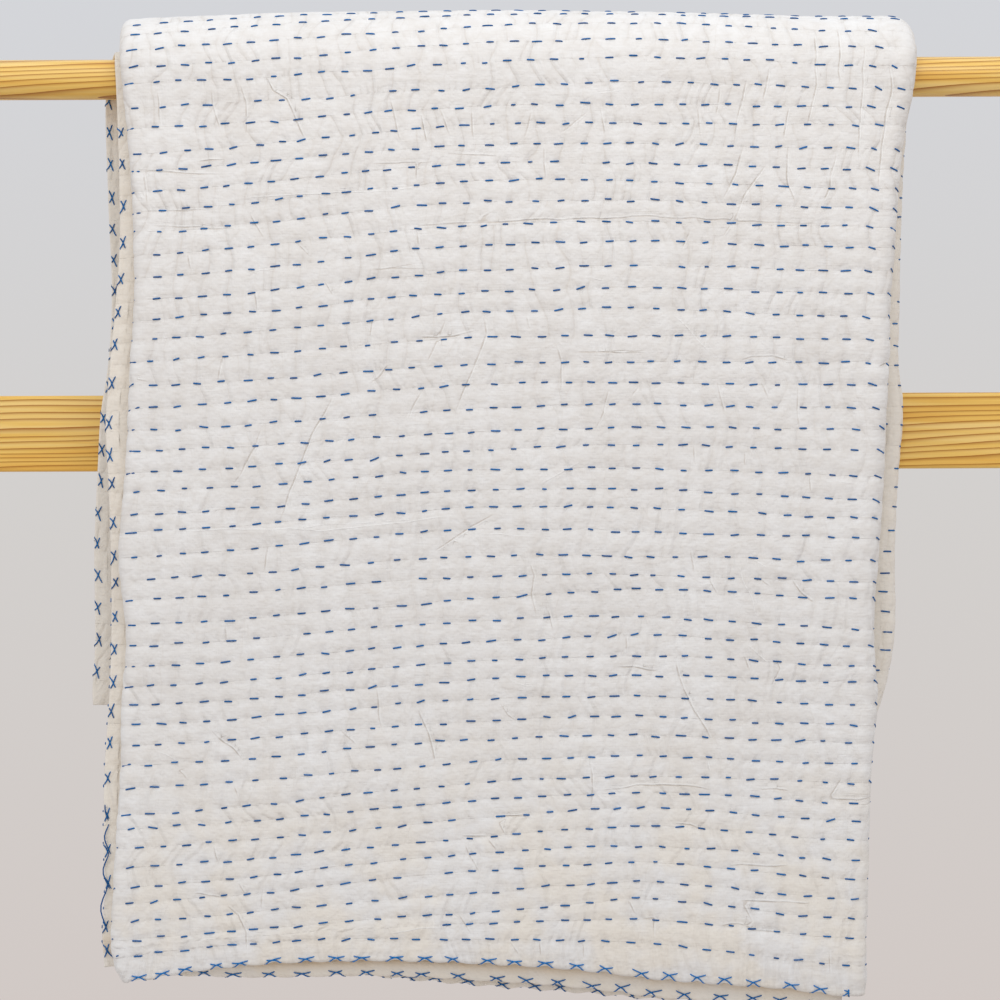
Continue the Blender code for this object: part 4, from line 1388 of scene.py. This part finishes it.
class Wiring:
    """A node tree with short calls that add nodes, feed them and give their outputs."""

    def __init__(self, tree):
        self.tree = tree

    def feed(self, node, socket, value):
        """Give an input, by name or number, another node's output, a number, a vector or a colour."""
        target = node.inputs[socket]
        if isinstance(value, bpy.types.NodeSocket):
            self.tree.links.new(value, target)
        elif target.type == 'RGBA':
            target.default_value = (*value, 1.0)
        else:
            target.default_value = value

    def add(self, kind, inputs=None, **settings):
        """Add a node, set its properties by name, feed its inputs, and return it."""
        node = self.tree.nodes.new(kind)
        for key, value in settings.items():
            setattr(node, key, value)
        for socket, value in (inputs or {}).items():
            self.feed(node, socket, value)
        return node

    def noise(self, vector, scale, detail=3.0, roughness=0.5, flat=False):
        """Noise texture of a vector, or of its first two axes."""
        inputs = {"Vector": vector, "Scale": scale, "Detail": detail, "Roughness": roughness}
        dimensions = '2D' if flat else '3D'
        return self.add("ShaderNodeTexNoise", inputs, noise_dimensions=dimensions).outputs[0]

    def stretched(self, vector, scale, rotation=(0, 0, 0)):
        """Mapping of a vector by a scale for each axis."""
        inputs = {"Vector": vector, "Scale": scale, "Rotation": rotation}
        return self.add("ShaderNodeMapping", inputs).outputs["Vector"]

    def split(self, vector):
        """The X, Y and Z of a vector, by name."""
        return self.add("ShaderNodeSeparateXYZ", {0: vector}).outputs

    def maths(self, operation, a, b=0.0):
        """Maths of two values or sockets."""
        return self.add("ShaderNodeMath", {0: a, 1: b}, operation=operation).outputs[0]

    def times(self, a, b):
        """Product of two values or sockets."""
        return self.maths('MULTIPLY', a, b)

    def plus(self, a, b):
        """Sum of two values or sockets."""
        return self.maths('ADD', a, b)

    def minus(self, a, b):
        """Difference of two values or sockets."""
        return self.maths('SUBTRACT', a, b)

    def size(self, a):
        """A value without its sign."""
        return self.maths('ABSOLUTE', a)

    def most(self, first, *others):
        """Largest of several values."""
        for value in others:
            first = self.maths('MAXIMUM', first, value)
        return first

    def ramp(self, factor, stops):
        """Colour ramp with stops of (position, colour)."""
        node = self.add("ShaderNodeValToRGB", {"Fac": factor})
        elements = node.color_ramp.elements
        while len(elements) < len(stops):
            elements.new(0.5)
        for element, (position, colour) in zip(elements, stops):
            element.position = position
            element.color = (*colour, 1.0)
        return node.outputs["Color"]

    def scaled(self, factor, low, high, bottom=0.0, top=1.0, course='LINEAR'):
        """Map a factor from low..high to bottom..top, clamped."""
        inputs = {"Value": factor, "From Min": low, "From Max": high, "To Min": bottom, "To Max": top}
        return self.add("ShaderNodeMapRange", inputs, interpolation_type=course).outputs["Result"]

    def eased(self, factor, *ends):
        """Map a factor as scaled does, with an eased start and end."""
        return self.scaled(factor, *ends, course='SMOOTHSTEP')

    def mix(self, factor, a, b):
        """Mix of two colours, given as sockets or plain colours."""
        return self.add("ShaderNodeMix", {0: factor, 6: a, 7: b}, data_type='RGBA').outputs[2]

    def bump(self, height, distance, strength=1.0):
        """Bump node; gives its normal."""
        inputs = {"Strength": strength, "Distance": distance, "Height": height}
        return self.add("ShaderNodeBump", inputs).outputs["Normal"]


def shader_material(name, **values):
    """A material with its Principled shader's plain values set; gives it, its wiring and shader."""
    material = bpy.data.materials.new(name)
    material.use_nodes = True
    tree = material.node_tree
    shader = next(node for node in tree.nodes if node.type == 'BSDF_PRINCIPLED')
    for key, value in values.items():
        shader.inputs[key.replace("_", " ")].default_value = value
    return material, Wiring(tree), shader


def shader_group(name, inputs, outputs):
    """A node group with sockets for inputs of (name, kind) and for outputs, which are values.

    Gives the group, its wiring, its inputs' sockets and the node that collects its outputs.
    """
    group = bpy.data.node_groups.new(name, "ShaderNodeTree")
    for socket, kind in inputs:
        group.interface.new_socket(name=socket, in_out='INPUT', socket_type=kind)
    for socket in outputs:
        group.interface.new_socket(name=socket, in_out='OUTPUT', socket_type='NodeSocketFloat')
    wires = Wiring(group)
    return group, wires, wires.add("NodeGroupInput").outputs, wires.add("NodeGroupOutput")


def crease_lines_group():
    """Node group of fine creases: puckers between columns of stitches, row lines and wrinkles.

    A pucker is a thin line near each whole column, moved and bent by noise, and kept in a cell of
    the stitch grid by that cell's own random value. A soft fold is the same line, but wider. A
    row line lies close to each row. Wrinkles are some of the borders of a stretched cell pattern.
    """
    group, wires, given, end = shader_group(
        "kantha_creases", (("Flat", 'NodeSocketVector'), ("Cells", 'NodeSocketVector')),
        ("Pucker", "Soft Fold", "Row Line", "Wrinkle"))
    flat, cells = given["Flat"], given["Cells"]
    cell = wires.split(cells)
    column, row, run = cell["X"], cell["Y"], wires.split(flat)["Y"]

    def line(distance, width):
        """1 on the line, easing to 0 at its half width."""
        return wires.eased(distance, 0.0, width, 1.0, 0.0)

    def offset(value, amount):
        """A noise value moved to about zero and scaled."""
        return wires.times(wires.minus(value, 0.5), amount)

    lean = wires.noise(wires.stretched(cells, (0.30, 0.34, 1.0)), 1.0, detail=0.0, flat=True)
    jitter = wires.noise(wires.stretched(flat, (1.0, 0.55, 1.0)), 75.0, detail=1.0, flat=True)
    moved = wires.plus(column, wires.plus(offset(lean, 1.3), offset(jitter, 0.26)))
    band = wires.maths('FLOOR', row)
    near_row = wires.size(wires.minus(wires.maths('FRACT', row), 0.5))
    hem_gathers = wires.eased(row, -0.4, 0.3, 0.45, 0.0)
    cores, folds = [], []
    for key, shift, needed in PUCKER_SETS:
        shifted = wires.plus(moved, shift)
        whole = wires.maths('FLOOR', wires.plus(shifted, 0.5))
        away = wires.times(wires.size(wires.minus(shifted, whole)), STITCH_PITCH)
        own = wires.add("ShaderNodeCombineXYZ", {"X": whole, "Y": band, "Z": key}).outputs[0]
        luck = wires.add("ShaderNodeTexWhiteNoise", {"Vector": own}, noise_dimensions='3D')
        chance = wires.plus(luck.outputs["Value"], wires.times(near_row, 0.8))
        kept = wires.eased(wires.plus(chance, hem_gathers), needed, needed + 0.7)
        cores.append(wires.times(line(away, PUCKER_LINE_MM), kept))
        folds.append(wires.times(line(away, SOFT_FOLD_MM), kept))
    crisp = wires.eased(run, -0.50, -0.15, 0.50, 1.0)
    wires.feed(end, "Pucker", wires.times(wires.most(*cores), crisp))
    wires.feed(end, "Soft Fold", wires.most(*folds))

    in_band = wires.maths('FRACT', wires.plus(row, offset(jitter, 0.16)))
    away = wires.minus(0.5, wires.size(wires.minus(in_band, 0.5)))
    away = wires.times(away, FULL_BAND)
    row_line = wires.times(line(away, ROW_LINE_MM), wires.eased(lean, 0.35, 0.6, 0.2, 1.0))
    wires.feed(end, "Row Line", row_line)

    bend = wires.noise(flat, 40.0, detail=1.0, flat=True)
    bent = wires.add("ShaderNodeVectorMath", operation='MULTIPLY_ADD')
    for socket, value in enumerate((bend, WRINKLE_BEND, flat)):
        wires.feed(bent, socket, value)
    kinds = []
    for stretch, turn, low in WRINKLE_SETS:
        turned = wires.stretched(wires.stretched(bent.outputs[0], (1.0, 1.0, 1.0), (0, 0, turn)), stretch)
        rims = wires.add("ShaderNodeTexVoronoi", voronoi_dimensions='2D', feature='DISTANCE_TO_EDGE')
        wires.feed(rims, "Scale", 1.0)
        wires.feed(rims, "Vector", turned)
        some = wires.eased(wires.noise(turned, 1.3, detail=0.0, flat=True), low, low + 0.14)
        kinds.append(wires.times(line(rims.outputs["Distance"], WRINKLE_WIDTH), some))
    wires.feed(end, "Wrinkle", wires.most(*kinds))
    return group


def cotton_material(colour, shade_and_mottle, hem_shade_colour):
    """White cotton voile: weave and slubs, fine creases with a painted warm shade, main creases, painted
    shade in hollows.

    One height in mm is the sum of the weave, a soft crumple, the folds and the creases.
    """
    material, wires, shader = shader_material(
        "kantha_cotton", Roughness=0.94, Sheen_Weight=0.12, Sheen_Roughness=0.5,
        Specular_IOR_Level=0.18)
    times, most, eased = wires.times, wires.most, wires.eased
    flat, cells = (wires.add("ShaderNodeUVMap", uv_map=name).outputs["UV"] for name in ("flat", "cells"))
    pinch, inside, side, depth = (wires.add("ShaderNodeAttribute", attribute_name=name).outputs["Fac"]
                                  for name in ("pinch", "inside", "crease_side", "crease_depth"))
    creases = wires.add("ShaderNodeGroup", node_tree=crease_lines_group())
    wires.feed(creases, "Flat", flat)
    wires.feed(creases, "Cells", cells)
    row = wires.split(cells)["Y"]

    trough, ridge = eased(depth, -1.4, -0.1, 1.0, 0.0), eased(depth, 0.1, 1.2)
    sharp = eased(wires.size(side), 0.15, 0.85, 1.0, 0.0)
    beside = eased(wires.size(wires.plus(side, 1.3)), 0.2, 1.1, 1.0, 0.0)
    mottle = wires.noise(flat, 16.0, detail=3.0, roughness=0.6, flat=True)
    thin = wires.noise(wires.stretched(flat, (1.0, 1.5, 1.0)), 75.0, detail=2.0, roughness=0.6, flat=True)
    looks = {
        "pucker": creases.outputs["Pucker"],
        "fold": creases.outputs["Soft Fold"],
        "row_line": creases.outputs["Row Line"],
        "wrinkle": creases.outputs["Wrinkle"],
        "pinch": pinch,
        "mottle": mottle,
        "thin": thin,
        "slub": wires.noise(wires.stretched(flat, (60.0, 900.0, 1.0)), 1.0, detail=0.0, flat=True),
        "crossing": wires.noise(wires.stretched(flat, (900.0, 60.0, 1.0)), 1.0, detail=0.0, flat=True),
        "crinkle": wires.noise(flat, 240.0, detail=1.0, flat=True),
        "main_line": times(times(trough, sharp), eased(thin, 0.3, 0.6, 0.35, 1.0)),
        "bright": most(times(trough, beside), times(ridge, sharp)),
    }

    tone = colour
    for name, (low, high, share) in CLOTH_TINTS.items():
        tone = wires.mix(wires.scaled(looks[name], low, high, 0.0, share), tone, shade_and_mottle)
    cream = times(eased(mottle, 0.35, 0.65), eased(row, -1.0, 16.0, 0.56, 0.0))
    tone = wires.mix(cream, tone, CREAM)
    # Painted warm shade along the puckers, soft folds, row lines, wrinkles, main crease lines and pinched
    # cloth
    gathers = wires.plus(*(times(looks[name], share) for name, share in GATHER_SHADE_SHARES.items()))
    lines = most(*(times(looks[name], share) for name, share in CREASE_SHADE_SHARES.items()), gathers)
    tone = wires.mix(lines, tone, shade_and_mottle)
    tone = wires.mix(times(looks["bright"], 0.5), tone, LIT_CREASE)
    # Painted cream shade on the cloth inside the folds, and on all of face b
    tone = wires.mix(eased(inside, 0.0, 0.62, 0.0, 0.56), tone, CREAM)
    # Painted warm shade in the crevice under the hems: on the plies inside the folds, a little above
    # their front hems, uneven by the mottle
    hem_shade = times(eased(row, -0.8, -0.2, 0.02, 0.52), eased(row, -0.2, 1.6, 1.0, 0.08))
    hem_shade = times(times(hem_shade, eased(mottle, 0.3, 0.7, 0.65, 1.25)), eased(inside, 0.65, 0.95))
    tone = wires.mix(wires.maths('MINIMUM', hem_shade, 1.0), tone, hem_shade_colour)
    wires.feed(shader, "Base Color", tone)

    height = 0.0
    for name, rise in CLOTH_HEIGHTS.items():
        height = wires.plus(height, times(looks[name], rise))
    for name, deep in CREASE_DEPTHS.items():
        height = wires.minus(height, times(looks[name], deep))
    wires.feed(shader, "Normal", wires.bump(height, MM))
    return material


def thread_material(name, colour, dark):
    """Twisted embroidery thread: a spiral of plies and a tone that varies from stitch to stitch."""
    material, wires, shader = shader_material(
        name, Roughness=0.62, Sheen_Weight=0.06, Specular_IOR_Level=0.3)
    flat = wires.add("ShaderNodeUVMap", uv_map="flat").outputs["UV"]
    shade = wires.add("ShaderNodeAttribute", attribute_name="shade").outputs["Fac"]
    wave = wires.add("ShaderNodeTexWave", wave_type='BANDS', bands_direction='X')
    wires.feed(wave, "Scale", 1.0)
    wires.feed(wave, "Vector", wires.stretched(flat, (260.0, 0.5, 1.0), (0, 0, 0.5)))
    ply = wave.outputs["Fac"]
    tone = wires.mix(shade, dark, colour)
    # Painted shade in the grooves between the thread's twisted plies
    tone = wires.mix(wires.scaled(ply, 0.2, 0.8, 0.35, 0.0), tone, THREAD_GROOVE_SHADE)
    wires.feed(shader, "Base Color", tone)
    wires.feed(shader, "Normal", wires.bump(ply, 0.2 * MM, 0.6))
    return material


def grain_group():
    """Node group of pine grain along X: year lines, fine streaks, broad bands and their height.

    A year line is the steep end of a saw tooth across the wood, bent by slow noises.
    """
    group, wires, given, end = shader_group(
        "pine_grain", (("Vector", 'NodeSocketVector'), ("Lines", 'NodeSocketFloat')),
        ("Year Line", "Streak", "Band", "Height"))
    vector = given["Vector"]
    place = wires.split(vector)
    drift = wires.noise(wires.stretched(vector, (2.2, 14.0, 14.0)), 1.0, detail=2.0)
    uneven = wires.noise(wires.stretched(vector, (1.3, 75.0, 75.0)), 1.0, detail=0.0)
    streak = wires.noise(wires.stretched(vector, (6.0, 420.0, 420.0)), 1.0, detail=4.0, roughness=0.65)
    band = wires.noise(wires.stretched(vector, (5.0, 130.0, 130.0)), 1.0, detail=2.0)
    across = wires.plus(place["Z"], wires.times(place["Y"], 0.45))
    across = wires.plus(across, wires.times(place["X"], -GRAIN_SLOPE))
    phase = wires.plus(wires.times(across, given["Lines"]), wires.times(drift, 5.0))
    phase = wires.plus(phase, wires.times(uneven, 1.6))
    late = wires.scaled(wires.maths('FRACT', phase), 0.45, 0.97)
    wires.feed(end, "Year Line", wires.maths('POWER', late, 1.7))
    wires.feed(end, "Streak", streak)
    wires.feed(end, "Band", band)
    wires.feed(end, "Height", wires.plus(wires.times(late, 0.5), streak))
    return group


def pine_material(piece_name, group, light, deep):
    """Varnished pine: pale early wood, orange late wood, streaks and a red resin line."""
    material, wires, shader = shader_material(
        piece_name + "_wood", Roughness=0.45, Coat_Weight=PINE_COATS[piece_name],
        Coat_Roughness=0.2, Specular_IOR_Level=0.3)
    place = wires.add("ShaderNodeTexCoord").outputs["Object"]
    grain = wires.add("ShaderNodeGroup", node_tree=group)
    wires.feed(grain, "Lines", GRAIN_LINES[piece_name])
    wires.feed(grain, "Vector", place)
    streak, band = grain.outputs["Streak"], grain.outputs["Band"]
    dull = tuple(STREAK_SHADE * value for value in light)
    tone = wires.mix(wires.scaled(streak, 0.25, 0.75), light, dull)
    # Broad pale bands: partly the pine's own pale streaks, partly painted highlight bands along the wood
    tone = wires.mix(wires.scaled(band, 0.46, 0.66, 0.0, 0.6), tone, PALE_PINE_AND_HIGHLIGHT)
    tone = wires.mix(wires.scaled(band, 0.30, 0.48, 0.5, 0.0), tone, ORANGE_PINE)
    tone = wires.mix(grain.outputs["Year Line"], tone, deep)
    resin = wires.noise(wires.stretched(place, (3.0, 20.0, 95.0)), 1.0, detail=1.0)
    tone = wires.mix(wires.scaled(resin, 0.70, 0.76, 0.0, 0.6), tone, RESIN)
    wires.feed(shader, "Base Color", tone)
    wires.feed(shader, "Roughness", wires.scaled(streak, 0.2, 0.8, 0.36, 0.55))
    wires.feed(shader, "Normal", wires.bump(grain.outputs["Height"], 0.4 * MM, 0.35))
    return material


# ---- Settings, operators and panel ----
def colour_setting(name, description, default):
    """A colour property with the usual limits."""
    return bpy.props.FloatVectorProperty(name=name, description=description, default=default,
                                         subtype='COLOR', size=3, min=0.0, max=1.0)


class KanthaSettings(bpy.types.PropertyGroup):
    """Sizes and colours of the quilt."""
    puff_mm: bpy.props.FloatProperty(
        name="Puff", description="Height of the wadding between two rows of stitches, in mm",
        default=1.1, min=0.5, max=4.0)
    thread_mm: bpy.props.FloatProperty(
        name="Thread radius", description="Radius of the stitching thread, in mm",
        default=THREAD_RADIUS, min=0.2, max=1.0)
    flat_width: bpy.props.FloatProperty(
        name="Flat width", description="Width of the quilt before it is folded",
        default=2.0, unit='LENGTH')
    flat_length: bpy.props.FloatProperty(
        name="Flat length", description="Length of the quilt before it is hung",
        default=1.5, unit='LENGTH')
    cloth: colour_setting("Cloth", "Colour of the cotton", (0.90, 0.89, 0.87))
    # Painted warm shade along the creases; the same colour also tints the random mottle, crumple and
    # slubs
    crease_shade_and_mottle: colour_setting("Crease shade", "Painted warm shade along the creases, also tinting the mottle",
                             (0.56, 0.47, 0.37))
    # Painted warm shade in the crevices under the hems
    inside: colour_setting("Hem crevice shade", "Painted warm shade in the crevices under the hems", (0.72, 0.52, 0.30))
    thread: colour_setting("Thread", "Blue of the stitching thread", (0.003, 0.235, 0.66))
    thread_dark: colour_setting("Thread shade", "Darkest blue of the thread", (0.002, 0.085, 0.28))
    pine: colour_setting("Pine", "Pale wood between the year lines", (0.98, 0.62, 0.14))
    pine_line: colour_setting("Year lines", "Orange wood of the year lines", (0.42, 0.145, 0.010))


class KANTHA_OT_cloth(bpy.types.Operator):
    """Make the folded and hung quilt cloth"""
    bl_idname = "kantha.cloth"
    bl_label = "Quilt Cloth"

    def execute(self, context):
        settings = context.scene.kantha
        cloth = make_cloth(settings.puff_mm)
        colours = (tuple(colour) for colour in (settings.cloth, settings.crease_shade_and_mottle, settings.inside))
        cloth.data.materials.append(cotton_material(*colours))
        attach(cloth, "root")
        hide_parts("quilt")
        return {'FINISHED'}


class KANTHA_OT_stitches(bpy.types.Operator):
    """Make the running stitches and the cross stitches"""
    bl_idname = "kantha.stitches"
    bl_label = "Stitches"

    def execute(self, context):
        settings = context.scene.kantha
        blue = thread_material("kantha_thread", tuple(settings.thread), tuple(settings.thread_dark))
        pieces = make_running_stitches(settings.puff_mm, settings.thread_mm)
        pieces.append(make_edge_crosses(settings.puff_mm, settings.thread_mm))
        for piece in pieces:
            piece.data.materials.append(blue)
            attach(piece, "root")
        return {'FINISHED'}


class KANTHA_OT_bars(bpy.types.Operator):
    """Make the round bar and the flat rail of pine"""
    bl_idname = "kantha.bars"
    bl_label = "Bar and Rail"

    def execute(self, context):
        settings = context.scene.kantha
        group = grain_group()
        light, deep = tuple(settings.pine), tuple(settings.pine_line)
        for piece, node in zip(make_bars(), ("top_bar", "lower_rail")):
            piece.data.materials.append(pine_material(piece.name, group, light, deep))
            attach(piece, "root")
            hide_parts(node)
        return {'FINISHED'}


STAGE_FLOOR_Z = -1.25
STAGE_FLOOR_RADII = (0.5, 1.0, 1.6, 2.1)
STAGE_FLOOR_COLOUR = (0.62, 0.58, 0.56, 1.0)
# Name, place, height of the point that it faces, size, power and colour of each light
LIGHTS = (
    ("key_light", (0.65, -1.15, 0.95), -0.1, 1.0, 8.4, (1.0, 1.0, 1.0)),
    ("side_light", (-1.2, -2.0, 0.3), -0.4, 1.2, 4.5, (1.0, 1.0, 0.99)),
)
# Colours of the backdrop from straight down to straight up
AIR_STOPS = (
    (0.0, (0.52, 0.46, 0.39)),
    (0.415, (0.640, 0.585, 0.560)),
    (0.50, (0.650, 0.630, 0.615)),
    (0.585, (0.660, 0.670, 0.700)),
    (1.0, (0.84, 0.87, 0.93)),
)
CAMERA_PLACE = (0.5, -2.6, -0.371)
CAMERA_HALF_FRAME = 0.44
CAMERA_ROLL_DEGREES = 0.21


def make_floor():
    """A plain disc: rings of points about a centre point, facing up."""
    radii = np.array(STAGE_FLOOR_RADII)
    turn = np.arange(ROUND_STEPS) * 2 * math.pi / ROUND_STEPS
    ring = np.stack([np.cos(turn), np.sin(turn)], axis=-1)
    flat = (radii[:, None, None] * ring[None]).reshape(-1, 2)
    points = np.vstack([[0, 0], flat])
    points = np.column_stack([points, np.full(len(points), STAGE_FLOOR_Z)]) + [QUILT_MIDDLE_X, 0, 0]
    number = 1 + np.arange(len(flat)).reshape(len(radii), -1)
    following = np.roll(number, -1, axis=1)
    fan = np.stack([np.zeros(ROUND_STEPS, int), number[0], following[0]], axis=-1)
    walls = np.stack([number[:-1], number[1:], following[1:], following[:-1]], axis=-1)
    loops = np.concatenate([fan.ravel(), walls.ravel()])
    sizes = np.concatenate([np.full(ROUND_STEPS, 3), np.full(walls.size // 4, 4)])
    return new_piece("stage_floor", points, loops, sizes)


def soft_light(name, place, target_z, size, power, colour):
    """A square area light aimed at a point of the quilt's middle line."""
    data = bpy.data.lights.new(name, 'AREA')
    data.shape = 'SQUARE'
    data.size = size
    data.energy = power
    data.color = colour
    obj = bpy.data.objects.new(name, data)
    obj.location = place
    direction = Vector((QUILT_MIDDLE_X, 0.0, target_z)) - Vector(place)
    obj.rotation_euler = direction.to_track_quat('-Z', 'Y').to_euler()
    bpy.context.scene.collection.objects.link(obj)


def world_light():
    """A backdrop of air: cool grey above the eye, warm grey below it."""
    world = bpy.data.worlds.new("studio_air")
    world.use_nodes = True
    wires = Wiring(world.node_tree)
    background = next(node for node in world.node_tree.nodes if node.type == 'BACKGROUND')
    direction = wires.add("ShaderNodeTexCoord").outputs["Generated"]
    height = wires.scaled(wires.split(direction)["Z"], -1.0, 1.0)
    wires.feed(background, "Color", wires.ramp(height, AIR_STOPS))
    wires.feed(background, "Strength", 1.0)
    bpy.context.scene.world = world


class KANTHA_OT_stage(bpy.types.Operator):
    """Make the floor, the soft lights, the backdrop and the camera"""
    bl_idname = "kantha.stage"
    bl_label = "Stage"

    def execute(self, context):
        floor = make_floor()
        pale = shader_material("stage_pale", Roughness=0.95, Base_Color=STAGE_FLOOR_COLOUR)[0]
        floor.data.materials.append(pale)
        world_light()
        for light in LIGHTS:
            soft_light(*light)
        camera_data = bpy.data.cameras.new("camera")
        camera_data.angle = 2 * math.atan(CAMERA_HALF_FRAME / -CAMERA_PLACE[1])
        camera = bpy.data.objects.new("camera", camera_data)
        camera.location = CAMERA_PLACE
        camera.rotation_euler = (math.pi / 2, math.radians(CAMERA_ROLL_DEGREES), 0.0)
        context.scene.collection.objects.link(camera)
        context.scene.camera = camera
        context.scene.view_settings.view_transform = 'Standard'
        return {'FINISHED'}


class KANTHA_PT_panel(bpy.types.Panel):
    """Sidebar panel of the quilt's settings and pieces"""
    bl_idname = "KANTHA_PT_panel"
    bl_label = "Kantha Quilt"
    bl_space_type = 'VIEW_3D'
    bl_region_type = 'UI'
    bl_category = "Kantha"

    def draw(self, context):
        layout = self.layout
        for key in KanthaSettings.__annotations__:
            layout.prop(context.scene.kantha, key)
        for operator in OPERATORS:
            layout.operator(operator.bl_idname)


OPERATORS = (KANTHA_OT_stitches, KANTHA_OT_cloth, KANTHA_OT_bars, KANTHA_OT_stage)


def register():
    for cls in (KanthaSettings, *OPERATORS, KANTHA_PT_panel):
        bpy.utils.register_class(cls)
    bpy.types.Scene.kantha = bpy.props.PointerProperty(type=KanthaSettings)


def unregister():
    del bpy.types.Scene.kantha
    for cls in (KANTHA_PT_panel, *reversed(OPERATORS), KanthaSettings):
        bpy.utils.unregister_class(cls)


def main():
    """Make every piece in order."""
    register()
    bpy.ops.kantha.stitches()
    bpy.ops.kantha.cloth()
    bpy.ops.kantha.bars()
    bpy.ops.kantha.stage()


if __name__ == "__main__":
    main()
